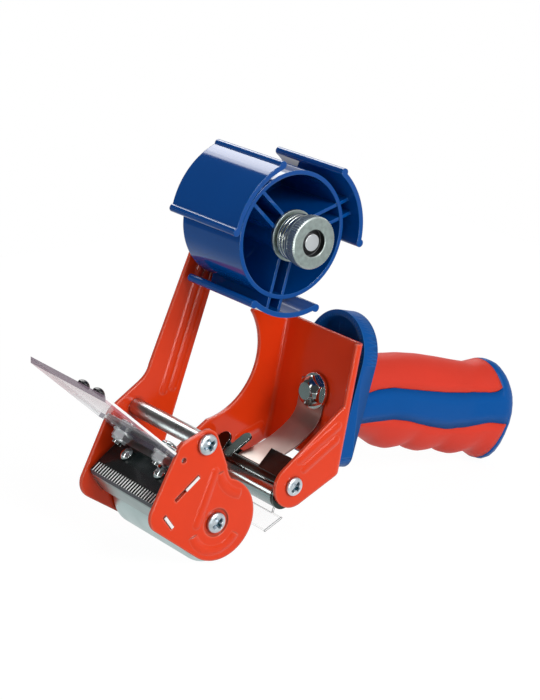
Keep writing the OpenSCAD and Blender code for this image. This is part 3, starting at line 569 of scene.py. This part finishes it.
def finish(name):
    """Shared finish by name, made when it is first used."""
    if name in FINISHES:
        return FINISHES[name]
    if name in COATINGS:
        body, edge, gloss, grain, depth, more = COATINGS[name]
        colour = getattr(bpy.context.scene.dispenser_colours, body)
        FINISHES[name] = coated(name, colour, edge, gloss, grain, depth, **more)
    elif name in METALS:
        colour, gloss, more = METALS[name]
        FINISHES[name] = plated(name, colour, gloss, **more)
    else:
        FINISHES[name] = OTHER_MAKERS[name]()
    return FINISHES[name]


def dress(name, *nodes):
    """Gives solids their finish."""
    for node in nodes:
        slots = NODES[node].data.materials
        slots.clear()
        slots.append(finish(name))


# Pieces


def new_object(name, mesh):
    made = bpy.data.objects.new(name, mesh)
    bpy.context.scene.collection.objects.link(made)
    return made


def mesh_from(name, points, faces):
    mesh = bpy.data.meshes.new(name)
    mesh.from_pydata([tuple(p) for p in points], [], faces)
    mesh.update()
    return mesh


def mesh_object(name, points, faces):
    return new_object(name, mesh_from(name, points, faces))


def add_piece(piece, body, slot, *nodes):
    """Lets a finished piece ride on its body and stand for solids."""
    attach(piece, body)
    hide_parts(*nodes)


def face_outward(mesh):
    shape = bmesh.new()
    shape.from_mesh(mesh)
    bmesh.ops.recalc_face_normals(shape, faces=shape.faces)
    shape.to_mesh(mesh)
    shape.free()


def smooth_by_angle(mesh, degrees):
    mesh.polygons.foreach_set("use_smooth", [True] * len(mesh.polygons))
    mesh.set_sharp_from_angle(angle=math.radians(degrees))


def revolved(name, profile, steps):
    """Closed ring of rotation about Z from a closed profile of (radius, height) points, in millimetres."""
    points = []
    faces = []
    count = len(profile)
    for i in range(steps):
        turn = 2.0 * math.pi * i / steps
        points += [MM * Vector((r * math.cos(turn), r * math.sin(turn), h)) for r, h in profile]
        for j in range(count):
            k = (j + 1) % count
            n = (i + 1) % steps
            faces.append((i * count + j, n * count + j, n * count + k, i * count + k))
    return mesh_from(name, points, faces)


def smooth_copy(node, name, degrees):
    """Copy of a solid with its loose triangles merged and its round faces smooth."""
    merge = 1e-6
    sliver = 1e-7
    mesh = NODES[node].data.copy()
    mesh.name = name
    shape = bmesh.new()
    shape.from_mesh(mesh)
    bmesh.ops.remove_doubles(shape, verts=shape.verts, dist=merge)
    bmesh.ops.dissolve_degenerate(shape, edges=shape.edges, dist=sliver)
    shape.to_mesh(mesh)
    shape.free()
    smooth_by_angle(mesh, degrees)
    mesh.materials.clear()
    return new_object(name, mesh)


# Repeated pieces


def geometry_group(name, inputs):
    inputs = [("Geometry", GEOMETRY, None), *inputs, ("Material", "NodeSocketMaterial", None)]
    return new_group(name, "GeometryNodeTree", inputs, [("Geometry", GEOMETRY)])


def close_group(tree, given, result, geometry, smooth=True):
    """Ends a tree: plain mesh, shading and material."""
    whole = add(tree, "GeometryNodeRealizeInstances", {"Geometry": geometry}).outputs[0]
    shaded = add(tree, "GeometryNodeSetShadeSmooth", {"Geometry": whole, "Shade Smooth": smooth}).outputs[0]
    finished = add(tree, "GeometryNodeSetMaterial", {"Geometry": shaded, "Material": given["Material"]})
    plug(tree, finished.outputs[0], result["Geometry"])


def run_tree(made, tree, **values):
    """Applies a tree to a piece as a plain mesh."""
    modifier = made.modifiers.new(tree.name, "NODES")
    modifier.node_group = tree
    sockets = {s.name: s.identifier for s in tree.interface.items_tree if s.in_out == "INPUT"}
    for key, value in values.items():
        modifier[sockets[key.replace("_", " ").title()]] = value
    bpy.context.view_layer.update()
    evaluated = made.evaluated_get(bpy.context.evaluated_depsgraph_get())
    mesh = bpy.data.meshes.new_from_object(evaluated)
    made.modifiers.remove(modifier)
    old = made.data
    made.data = mesh
    bpy.data.meshes.remove(old)
    mesh.name = made.name
    if not mesh.polygons:
        raise RuntimeError(f"{made.name} came out empty")
    mesh.polygons.foreach_set("material_index", [0] * len(mesh.polygons))
    mesh.materials.clear()
    mesh.materials.append(values["material"])


def coil_tree():
    """Round wire wound along -Y."""
    inputs = [
        ("Wire Radius", FLOAT, 0.001),
        ("Coil Radius", FLOAT, 0.01),
        ("Turns", FLOAT, 3.0),
        ("Length", FLOAT, 0.008),
        ("Place", VECTOR, (0.0, 0.0, 0.0)),
    ]
    tree, given, result = geometry_group("wound_wire", inputs)
    spiral = {
        "Resolution": 64,
        "Rotations": given["Turns"],
        "Start Radius": given["Coil Radius"],
        "End Radius": given["Coil Radius"],
        "Height": given["Length"],
    }
    path = add(tree, "GeometryNodeCurveSpiral", spiral).outputs[0]
    circle = {"Resolution": 20, "Radius": given["Wire Radius"]}
    section = add(tree, "GeometryNodeCurvePrimitiveCircle", circle).outputs[0]
    sweep = {"Curve": path, "Profile Curve": section, "Fill Caps": True}
    wire = add(tree, "GeometryNodeCurveToMesh", sweep).outputs[0]
    stand = {"Geometry": wire, "Translation": given["Place"], "Rotation": (math.pi / 2.0, 0.0, 0.0)}
    placed = add(tree, "GeometryNodeTransform", stand).outputs[0]
    close_group(tree, given, result, placed)
    return tree


def copies_on(tree, given, points, more):
    """The given piece set on each point."""
    info = add(tree, "GeometryNodeObjectInfo", {"Object": given["Piece"], "As Instance": True})
    inputs = {"Points": points, "Instance": info.outputs["Geometry"], **more}
    return add(tree, "GeometryNodeInstanceOnPoints", inputs).outputs[0]


def join_to_base(tree, given, result, copies):
    """Ends a tree with the copies joined to the base mesh."""
    joined = tree.nodes.new("GeometryNodeJoinGeometry")
    plug(tree, copies, joined.inputs[0])
    plug(tree, given["Geometry"], joined.inputs[0])
    close_group(tree, given, result, joined.outputs[0], smooth=False)


def ring_tree():
    """A piece repeated round the Z axis and joined to the base mesh."""
    inputs = [PIECE, ("Count", COUNT, 60), ("Radius", FLOAT, 0.01)]
    tree, given, result = geometry_group("ring_of_pieces", inputs)
    circle = {"Vertices": given["Count"], "Radius": given["Radius"]}
    ring = add(tree, "GeometryNodeMeshCircle", circle).outputs[0]
    index = add(tree, "GeometryNodeInputIndex").outputs[0]
    share = math_node(tree, "DIVIDE", index, given["Count"])
    turn = add(tree, "ShaderNodeCombineXYZ", {"Z": math_node(tree, "MULTIPLY", share, 2.0 * math.pi)})
    join_to_base(tree, given, result, copies_on(tree, given, ring, {"Rotation": turn.outputs[0]}))
    return tree


def row_tree():
    """A piece repeated along a straight line and joined to the base mesh."""
    inputs = [
        PIECE,
        ("Count", COUNT, 26),
        ("Start", VECTOR, (0.0, 0.0, 0.0)),
        ("Step", VECTOR, (0.0, 0.002, 0.0)),
    ]
    tree, given, result = geometry_group("row_of_pieces", inputs)
    places = {"Count": given["Count"], "Start Location": given["Start"], "Offset": given["Step"]}
    line = add(tree, "GeometryNodeMeshLine", places).outputs[0]
    join_to_base(tree, given, result, copies_on(tree, given, line, {}))
    return tree


def scatter_tree():
    """A piece set on each point of the base mesh, with the point's own turn and size."""
    tree, given, result = geometry_group("pieces_on_points", [PIECE])
    turn = add(tree, "GeometryNodeInputNamedAttribute", {"Name": "turn"}, data_type="FLOAT_VECTOR").outputs[0]
    size = add(tree, "GeometryNodeInputNamedAttribute", {"Name": "size"}, data_type="FLOAT").outputs[0]
    copies = copies_on(tree, given, given["Geometry"], {"Rotation": turn, "Scale": size})
    close_group(tree, given, result, copies)
    return tree


# Sizes and colours a user would change


def length_setting(name, words, value):
    """Length given in millimetres."""
    return FloatProperty(name=name, description=words, default=value * MM, unit="LENGTH", precision=5)


def colour_setting(name, words, value):
    """Body colour of a finish."""
    return FloatVectorProperty(
        name=name, description=words, default=value, subtype="COLOR", size=3, min=0.0, max=1.0
    )


def number_setting(name, words, value):
    """Plain number."""
    return FloatProperty(name=name, description=words, default=value)


class DispenserColours(bpy.types.PropertyGroup):
    """Body colours of the finishes"""

    red_paint: colour_setting("Red paint", "Stoved paint of the steel frame", (0.79, 0.046, 0.006))
    hub_blue: colour_setting("Hub blue", "Gloss plastic of the tape hub", (0.0, 0.068, 0.31))
    handle_blue: colour_setting("Handle blue", "Satin plastic of the handle", (0.0, 0.085, 0.34))
    grip_red: colour_setting("Grip red", "Soft grips on the handle", (0.72, 0.038, 0.016))
    # Black also paints the shade inside the brake nut's cup
    black: colour_setting("Black", "Bushes, brake sleeve and flap rivets", (0.008, 0.009, 0.01))


class DispenserBrake(bpy.types.PropertyGroup):
    """Sizes of the hub's brake"""

    wire_radius: length_setting("Wire radius", "Half the spring wire's thickness", 1.0)
    coil_radius: length_setting("Coil radius", "Axis to the middle of the spring wire", 10.2)
    turns: FloatProperty(name="Turns", description="Turns of the spring", default=3.0, min=1.0, max=6.0)
    spring_start: length_setting("Spring start", "Place of the spring's inner end along the axle", -20.1)
    spring_length: length_setting("Spring length", "Length of the spring at rest", 8.5)
    knurls: IntProperty(name="Knurls", description="Ridges round the brake nut", default=64, min=12, max=120)
    nut_radius: length_setting("Nut radius", "Outside radius of the brake nut", 12.5)
    nut_height: length_setting("Nut height", "Height of the brake nut", 5.2)
    nut_face: length_setting("Nut face", "Place of the nut's inner face along the axle", -29.85)


class DispenserCutter(bpy.types.PropertyGroup):
    """Sizes of the serrated blade"""

    teeth: IntProperty(name="Teeth", description="Teeth along the blade", default=26, min=10, max=40)
    pitch: length_setting("Pitch", "Distance between two teeth", 2.0)
    thickness: length_setting("Thickness", "Thickness of the blade", 0.8)


class DispenserStage(bpy.types.PropertyGroup):
    """Lights, and what mirrors see"""

    key_power: number_setting("Key light", "Power of the large front light", 10.0)
    back_power: number_setting("Back light", "Power of the panel behind", 3.0)
    side_power: number_setting("Side light", "Power of the strip on the left", 1.5)
    fill: number_setting("Fill", "Even light from all round", 0.38)
    ceiling: number_setting("Ceiling", "What mirrors see overhead", 0.09)
    right_side: number_setting("Right side", "What mirrors see on the right", 0.36)
    strip: number_setting("Strip", "Strip at the front on the left, seen in gloss only", 8.0)
    window: number_setting("Window", "Panel behind on the right, seen in gloss only", 5.0)


# Operators


class DISPENSER_OT_frame_paint(bpy.types.Operator):
    """Paint the pressed steel frame and the near side plate"""

    bl_idname = "dispenser.frame_paint"
    bl_label = "Frame Paint"

    def execute(self, context):
        dress("red_paint", "main_frame", "near_side_plate")
        return {"FINISHED"}


def within_one(value):
    """The value, held between 0 and 1."""
    return min(1.0, max(0.0, value))


def cross_head(name, rings=36, steps=96):
    """Pan head of radius 1 along +Z with a tapered cross recess, on a short shank, in millimetres."""
    rim_height = 0.18
    dome_reach = 0.98
    dome_power = 2.4
    arm_length = 0.68
    arm_width = 0.19
    arm_flare = 1.25
    arm_taper = 0.4
    arm_end = 0.2
    flank = 0.06
    depth = 0.45
    shank_radius = 0.5
    shank_end = -0.4
    turns = [2.0 * math.pi * j / steps for j in range(steps)]
    circle = [(math.cos(turn), math.sin(turn)) for turn in turns]

    def height(x, y):
        fall = max(0.0, 1.0 - (math.hypot(x, y) * dome_reach) ** dome_power)
        dome = rim_height + (HEAD_HEIGHT - rim_height) * math.sqrt(fall)
        cut = 0.0
        for u, v in ((x, y), (y, x)):
            along = within_one((arm_length - abs(u)) / arm_end)
            width = arm_width * (arm_flare - arm_taper * abs(u) / arm_length)
            across = within_one((width - abs(v)) / flank + 0.5)
            cut = max(cut, along * across)
        return dome - depth * cut * cut * (3.0 - 2.0 * cut)

    points = []
    for i in range(1, rings + 1):
        r = i / rings
        points += [(r * x, r * y, height(r * x, r * y)) for x, y in circle]
    for r, h in ((1.0, 0.0), (shank_radius, 0.0), (shank_radius, shank_end)):
        points += [(r * x, r * y, h) for x, y in circle]
    top = len(points)
    points += [(0.0, 0.0, height(0.0, 0.0)), (0.0, 0.0, shank_end)]
    faces = []
    for i in range(rings + 2):
        for j in range(steps):
            k = (j + 1) % steps
            faces.append((i * steps + j, (i + 1) * steps + j, (i + 1) * steps + k, i * steps + k))
    last = (rings + 2) * steps
    for j in range(steps):
        k = (j + 1) % steps
        faces.append((top, j, k))
        faces.append((top + 1, last + k, last + j))
    return mesh_object(name, [MM * Vector(p) for p in points], faces)


def points_object(name, rows):
    """Base mesh of points that carry a turn and a size."""
    mesh = mesh_from(name, [row[0] for row in rows], [])
    mesh.attributes.new("turn", "FLOAT_VECTOR", "POINT")
    mesh.attributes.new("size", "FLOAT", "POINT")
    for i, (_, turn, size) in enumerate(rows):
        mesh.attributes["turn"].data[i].vector = turn
        mesh.attributes["size"].data[i].value = size
    return new_object(name, mesh)


class DISPENSER_OT_plate_screws(bpy.types.Operator):
    """Set the cross recess screws on the two side plates and the lugs"""

    bl_idname = "dispenser.plate_screws"
    bl_label = "Plate Screws"

    def execute(self, context):
        rows = []
        nodes = []
        for side, turn, twist in (("near", math.pi / 2.0, 0.4), ("far", -math.pi / 2.0, 0.7)):
            for head in ("spacer", "axle", "lug"):
                node = f"{head}_screw_{side}"
                low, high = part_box(node)
                middle = (low + high) / 2.0
                radius = (high.x - low.x) / 2.0 / MM
                outer = low.y if side == "near" else high.y
                middle.y = outer - math.copysign(HEAD_HEIGHT * radius * MM, outer)
                spin = twist * (1.0 + 0.5 * len(rows))
                aim = Matrix.Rotation(turn, 3, "X") @ Matrix.Rotation(spin, 3, "Z")
                rows.append((middle, tuple(aim.to_euler()), radius))
                nodes.append(node)
        head = cross_head("cross_head")
        piece = points_object("plate_screws", rows)
        run_tree(piece, scatter_tree(), piece=head, material=finish("bright_zinc"))
        bpy.data.objects.remove(head)
        smooth_by_angle(piece.data, 40.0)
        add_piece(piece, "frame", "zinc", *nodes)
        return {"FINISHED"}


class DISPENSER_OT_rollers(bpy.types.Operator):
    """Finish the front roller, the guide roller and their axles"""

    bl_idname = "dispenser.rollers"
    bl_label = "Rollers"

    def execute(self, context):
        dress("roller_zinc", "front_roller")
        dress("black_nylon", "front_bush_near", "front_bush_far")
        dress("bar_chrome", "upper_spacer_bar")
        dress("guide_steel", "guide_roller")
        dress("zinc", "front_axle", "guide_axle")
        return {"FINISHED"}


class DISPENSER_OT_cutter(bpy.types.Operator):
    """Finish the cutter: carrier, cover, serrated blade, clear flap and its screws"""

    bl_idname = "dispenser.cutter"
    bl_label = "Cutter"

    def execute(self, context):
        dress("sheared_zinc", "blade_carrier")
        dress("cutter_cover", "blade_cover")
        self.cut_blade(context.scene.dispenser_cutter)
        dress("clear_flap", "clear_flap")
        dress("chrome", "cover_screw_near", "cover_screw_far", "flap_screw_near", "flap_screw_far")
        dress("black_cover", "flap_rivet_inner", "flap_rivet_outer")
        self.turn_nuts()
        return {"FINISHED"}

    def turn_nuts(self):
        """Flanged lock nuts that hold the flap on its carrier, from profiles of (radius, height)."""
        collar = [(2.6, 0.05), (5.4, 0.05), (5.4, 0.8), (5.0, 1.2), (2.6, 1.2)]
        hexagon = [(2.6, 1.15), (4.9, 1.15), (4.9, 3.6), (4.4, 3.9), (2.6, 3.9)]
        locking = [(2.6, 3.8), (3.9, 3.8), (3.9, 4.6), (3.5, 5.0), (2.6, 5.0)]
        shape = bmesh.new()
        for profile, steps in ((collar, 48), (hexagon, 6), (locking, 48)):
            part = revolved("nut_part", profile, steps)
            shape.from_mesh(part)
            bpy.data.meshes.remove(part)
        bmesh.ops.recalc_face_normals(shape, faces=shape.faces)
        mesh = bpy.data.meshes.new("lock_nut")
        shape.to_mesh(mesh)
        shape.free()
        nut = new_object("lock_nut", mesh)
        seat = from_roller(*FLAP_NUT)
        aside = Vector((0.0, FLAP_NUT_SIDE * MM, 0.0))
        rows = [(seat + side * aside, (0.0, -FLAP_TURN, 0.0), 1.0) for side in (-1.0, 1.0)]
        piece = points_object("flap_lock_nuts", rows)
        run_tree(piece, scatter_tree(), piece=nut, material=finish("bright_chrome"))
        bpy.data.objects.remove(nut)
        smooth_by_angle(piece.data, 35.0)
        add_piece(piece, "frame", "chrome", "flap_nut_near", "flap_nut_far")

    def cut_blade(self, sizes):
        """Strip with a row of teeth, each ground to a ridge, in millimetres on the ramp."""
        rear = -2.6
        tip = 8.4
        half = 26.0
        lap = 0.05
        under = 4.15
        over = under + sizes.thickness / MM
        ends = (rear, BLADE_ROOT + lap)
        corners = [ramp_point(u, v, w) for w in (under, over) for v in (-half, half) for u in ends]
        sides = [(0, 2, 3, 1), (4, 5, 7, 6), (0, 1, 5, 4), (2, 6, 7, 3), (0, 4, 6, 2), (1, 3, 7, 5)]
        blade = mesh_object("serrated_strip", corners, sides)
        # Sections of a tooth: share of its length, half width in pitches, rise in thicknesses
        sections = ((0.0, 0.1, 0.4), (0.75, 0.09, 0.4), (1.0, 0.05, 0.3))
        ridge_place = 0.3
        ridge = []
        for along, wide, rise in sections:
            u = BLADE_ROOT + along * (tip - BLADE_ROOT)
            v = wide * sizes.pitch / MM
            w = under + rise * (over - under)
            ridge += [(u, -v, under), (u, v, under), (u, v, w), (u, ridge_place * v, w)]
        origin = ramp_point(0.0, 0.0, 0.0)
        faces = [(0, 3, 2, 1), (8, 9, 10, 11)]
        for i in (0, 4):
            faces += [(i + k, i + (k + 1) % 4, i + 4 + (k + 1) % 4, i + 4 + k) for k in range(4)]
        tooth = mesh_object("tooth", [ramp_point(*c) - origin for c in ridge], faces)
        start = ramp_point(0.0, -0.5 * (sizes.teeth - 1) * sizes.pitch / MM, 0.0)
        run_tree(
            blade,
            row_tree(),
            piece=tooth,
            count=sizes.teeth,
            start=start,
            step=(0.0, sizes.pitch, 0.0),
            material=finish("blade_steel"),
        )
        bpy.data.objects.remove(tooth)
        face_outward(blade.data)
        add_piece(blade, "frame", "blade_steel", "serrated_blade")


class DISPENSER_OT_tape_guide(bpy.types.Operator):
    """Finish the guide bracket, the leaf spring and the clear tape stop"""

    bl_idname = "dispenser.tape_guide"
    bl_label = "Tape Guide"

    def execute(self, context):
        dress("dark_chrome", "guide_bracket")
        dress("spring_steel", "leaf_spring")
        dress("clear_plastic", "tape_stop")
        return {"FINISHED"}


class DISPENSER_OT_handle(bpy.types.Operator):
    """Finish the handle, its soft grips and the large bolt"""

    bl_idname = "dispenser.handle"
    bl_label = "Handle"

    def execute(self, context):
        for node, name, degrees, slot in (
            ("handle_body", "handle_shell", 32.0, "blue_plastic"),
            ("upper_grip", "upper_soft_grip", 50.0, "red_rubber"),
            ("lower_grip", "lower_soft_grip", 50.0, "red_rubber"),
        ):
            piece = smooth_copy(node, name, degrees)
            piece.data.materials.append(finish(slot))
            add_piece(piece, "frame", slot, node)
        dress("bolt_chrome", "handle_bolt")
        dress("chrome", "bolt_washer")
        return {"FINISHED"}


class DISPENSER_OT_hub(bpy.types.Operator):
    """Finish the tape hub and its axle"""

    bl_idname = "dispenser.hub"
    bl_label = "Tape Hub"

    def execute(self, context):
        dress("hub_plastic", "tape_hub")
        dress("bright_chrome", "hub_axle")
        dress("zinc", "axle_lock_nut")
        return {"FINISHED"}


class DISPENSER_OT_brake(bpy.types.Operator):
    """Wind the brake spring and cut the knurled nut"""

    bl_idname = "dispenser.brake"
    bl_label = "Hub Brake"

    def execute(self, context):
        sizes = context.scene.dispenser_brake
        self.wind_spring(sizes)
        self.cut_nut(sizes)
        dress("zinc", "brake_washer", "pressure_washer")
        dress("black_nylon", "brake_sleeve")
        return {"FINISHED"}

    def wind_spring(self, sizes):
        """Coil between the brake washer and the pressure washer."""
        play = 0.05 * MM
        run = sizes.spring_length - 2.0 * sizes.wire_radius - 2.0 * play
        start = Vector((HUB.x, sizes.spring_start - sizes.wire_radius - play, HUB.z))
        spring = new_object("brake_spring_coil", bpy.data.meshes.new("brake_spring_coil"))
        run_tree(
            spring,
            coil_tree(),
            wire_radius=sizes.wire_radius,
            coil_radius=sizes.coil_radius,
            turns=sizes.turns,
            length=run,
            place=start,
            material=finish("spring_wire"),
        )
        add_piece(spring, "frame", "chrome", "brake_spring")
        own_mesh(spring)

    def cut_nut(self, sizes):
        """Round nut with ridges round it and a cup in its outer face, its walls black as painted shade."""
        radius = sizes.nut_radius / MM
        height = sizes.nut_height / MM
        ridge = 0.35
        edge = 0.55
        bore = 4.05
        cup = 6.4
        cup_floor = 2.0
        cup_edge = 0.3
        root = radius - ridge
        profile = [
            (bore, 0.0),
            (root - edge, 0.0),
            (root, edge),
            (root, height - edge),
            (root - edge, height),
            (cup + cup_edge, height),
            (cup, height - cup_edge),
            (cup, cup_floor),
            (bore, cup_floor),
        ]
        nut = new_object("brake_nut_knurled", revolved("brake_nut_knurled", profile, 128))
        knurl_share = 0.42
        sunk = 0.3
        crest = 0.08
        slope = 0.1
        width = knurl_share * 2.0 * math.pi * radius / sizes.knurls
        corners = [
            MM * Vector((x, side * half, z))
            for x, half, inset in ((-sunk, width, -sunk), (ridge, crest, slope))
            for z in (edge + inset, height - edge - inset)
            for side in (-1.0, 1.0)
        ]
        sides = [(0, 1, 5, 4), (2, 6, 7, 3), (4, 5, 7, 6), (0, 4, 6, 2), (1, 3, 7, 5), (0, 2, 3, 1)]
        tooth = mesh_object("knurl", corners, sides)
        zinc = finish("zinc")
        run_tree(nut, ring_tree(), piece=tooth, count=sizes.knurls, radius=root * MM, material=zinc)
        bpy.data.objects.remove(tooth)
        # The cup's faces take the black finish: painted shade inside the cup
        nut.data.materials.append(finish("black_cover"))
        for face in nut.data.polygons:
            middle = face.center
            if middle.xy.length < (cup + 0.05) * MM and middle.z > 0.5 * cup_floor * MM:
                face.material_index = 1
        place = Matrix.Translation((HUB.x, sizes.nut_face, HUB.z)) @ Matrix.Rotation(math.pi / 2.0, 4, "X")
        nut.data.transform(place)
        smooth_by_angle(nut.data, 30.0)
        add_piece(nut, "brake_knob", "zinc", "brake_nut")


def area_light(name, offset, size, power):
    """White panel light that looks at the middle of the dispenser."""
    middle = (CAD_BOX[0] + CAD_BOX[1]) / 2.0
    place = middle + Vector(offset)
    lamp = bpy.data.lights.new(name, "AREA")
    lamp.shape = "RECTANGLE"
    lamp.size, lamp.size_y = size
    lamp.energy = power
    made = new_object(name, lamp)
    made.location = place
    made.rotation_euler = (middle - place).to_track_quat("-Z", "Y").to_euler()


class DISPENSER_OT_stage(bpy.types.Operator):
    """Set the floor, the lights, the backdrop and the camera"""

    bl_idname = "dispenser.stage"
    bl_label = "Stage"

    def execute(self, context):
        settings = context.scene.dispenser_stage
        context.scene.view_settings.view_transform = "Standard"
        self.set_world(context.scene, settings)
        self.set_floor()
        area_light("key", (0.05, -1.1, 0.62), (0.6, 0.45), settings.key_power)
        area_light("back", (0.65, 0.95, 0.8), (1.1, 0.6), settings.back_power)
        area_light("side", (-1.0, 0.1, 0.35), (0.15, 0.9), settings.side_power)
        self.set_camera(context.scene)
        return {"FINISHED"}

    def set_world(self, scene, settings):
        """White behind the object; mirrors see a studio, bright on the right and dark above on the left."""
        world = bpy.data.worlds.new("studio")
        world.use_nodes = True
        tree = world.node_tree
        tree.nodes.clear()
        path = add(tree, "ShaderNodeLightPath").outputs
        looking = add(tree, "ShaderNodeTexCoord").outputs["Generated"]
        way = add(tree, "ShaderNodeSeparateXYZ", {0: looking}).outputs
        right = ramp(tree, way["X"], -0.03, 0.16)
        horizon = ramp(tree, math_node(tree, "ABSOLUTE", way["Z"]), 0.06, 0.03)
        room = math_node(tree, "MULTIPLY_ADD", right, settings.right_side, settings.ceiling)
        room = math_node(tree, "MAXIMUM", room, horizon)
        window = overlap(
            tree,
            (way["X"], 0.03, 0.055),
            (way["X"], 0.7, 0.6),
            (way["Z"], 0.42, 0.46),
            (way["Y"], 0.3, 0.4),
        )
        room = math_node(tree, "MULTIPLY_ADD", window, settings.window, room)
        strip = overlap(
            tree,
            (way["X"], -0.54, -0.5),
            (way["X"], -0.1, -0.14),
            (way["Y"], -0.4, -0.5),
            (way["Z"], 0.06, 0.0),
        )
        room = math_node(tree, "MULTIPLY_ADD", strip, settings.strip, room)
        level = mix_value(tree, path["Is Glossy Ray"], settings.fill, room)
        seen = math_node(tree, "MAXIMUM", path["Is Camera Ray"], path["Is Transmission Ray"])
        strength = mix_value(tree, seen, level, 1.0)
        light = add(tree, "ShaderNodeBackground", {"Color": rgba(WHITE), "Strength": strength})
        add(tree, "ShaderNodeOutputWorld", {"Surface": light.outputs[0]})
        scene.world = world

    def set_floor(self):
        """White floor that keeps a faint shadow; in mirrors it falls off to grey on the left."""
        half = 0.45
        low = -0.0003
        left_grey = (0.26, 0.32, 0.315, 1.0)
        pale = (0.9, 0.9, 0.9, 1.0)
        white = (1.04, 1.04, 1.04, 1.0)
        shadow_share = 0.08
        corners = [(-half, -half, low), (half, -half, low), (half, half, low), (-half, half, low)]
        floor = mesh_object("floor", corners, [(0, 1, 2, 3)])
        material, tree = new_material("pale_floor")
        path = add(tree, "ShaderNodeLightPath").outputs
        spot = add(tree, "ShaderNodeSeparateXYZ", {0: own_place(tree)}).outputs
        bright = overlap(tree, (spot["X"], -0.2, 0.04), (spot["Y"], -0.25, 0.0))
        grey = mix_colour(tree, bright, left_grey, pale)
        through = math_node(tree, "SUBTRACT", 1.0, path["Is Transmission Ray"])
        mirrored = math_node(tree, "MULTIPLY", path["Is Glossy Ray"], through)
        shown = mix_colour(tree, mirrored, white, grey)
        matt = add(tree, "ShaderNodeBsdfDiffuse", {"Color": pale})
        glow = add(tree, "ShaderNodeEmission", {"Color": shown, "Strength": 1.0})
        seen = math_node(tree, "MAXIMUM", path["Is Camera Ray"], path["Is Transmission Ray"])
        share = math_node(tree, "MAXIMUM", math_node(tree, "MULTIPLY", seen, 1.0 - shadow_share), mirrored)
        mixed = add(tree, "ShaderNodeMixShader", {0: share, 1: matt.outputs[0], 2: glow.outputs[0]})
        add(tree, "ShaderNodeOutputMaterial", {"Surface": mixed.outputs[0]})
        floor.data.materials.append(material)

    def set_camera(self, scene):
        """Long lens on the near side, in front of the dispenser and above it."""
        focal_pixels = 2035.0
        picture_height = 700.0
        sensor = 36.0
        eye = from_roller(-527.4, -718.2, 383.4)
        back = Vector((-0.5935, -0.7365, 0.3246)).normalized()
        right = Vector((0.7865, -0.6163, 0.0398))
        right = (right - back * right.dot(back)).normalized()
        up = back.cross(right)
        lens = bpy.data.cameras.new("camera")
        lens.sensor_fit = "VERTICAL"
        lens.sensor_height = sensor
        lens.sensor_width = sensor
        lens.lens = focal_pixels / picture_height * sensor
        lens.clip_start = 0.05
        camera = new_object("camera", lens)
        turn = Matrix((right, up, back)).transposed().to_4x4()
        camera.matrix_world = Matrix.Translation(eye) @ turn
        scene.camera = camera


class DISPENSER_PT_panel(bpy.types.Panel):
    """Lists the steps that dress the dispenser"""

    bl_idname = "DISPENSER_PT_panel"
    bl_label = "Tape Dispenser"
    bl_space_type = "VIEW_3D"
    bl_region_type = "UI"
    bl_category = "Dispenser"

    def draw(self, context):
        for group, kind in SETTINGS.items():
            box = self.layout.box()
            for name in kind.__annotations__:
                box.prop(getattr(context.scene, group), name)
        for operator in OPERATORS:
            self.layout.operator(operator.bl_idname)


OPERATORS = (
    DISPENSER_OT_stage,
    DISPENSER_OT_frame_paint,
    DISPENSER_OT_plate_screws,
    DISPENSER_OT_rollers,
    DISPENSER_OT_cutter,
    DISPENSER_OT_tape_guide,
    DISPENSER_OT_handle,
    DISPENSER_OT_hub,
    DISPENSER_OT_brake,
)
SETTINGS = {
    "dispenser_colours": DispenserColours,
    "dispenser_brake": DispenserBrake,
    "dispenser_cutter": DispenserCutter,
    "dispenser_stage": DispenserStage,
}
CLASSES = (*SETTINGS.values(), *OPERATORS, DISPENSER_PT_panel)


def register():
    for kind in CLASSES:
        bpy.utils.register_class(kind)
    for name, group in SETTINGS.items():
        setattr(bpy.types.Scene, name, PointerProperty(type=group))


def unregister():
    for name in SETTINGS:
        delattr(bpy.types.Scene, name)
    for kind in reversed(CLASSES):
        bpy.utils.unregister_class(kind)


def main():
    register()
    for operator in OPERATORS:
        family, name = operator.bl_idname.split(".")
        getattr(getattr(bpy.ops, family), name)()


if __name__ == "__main__":
    main()
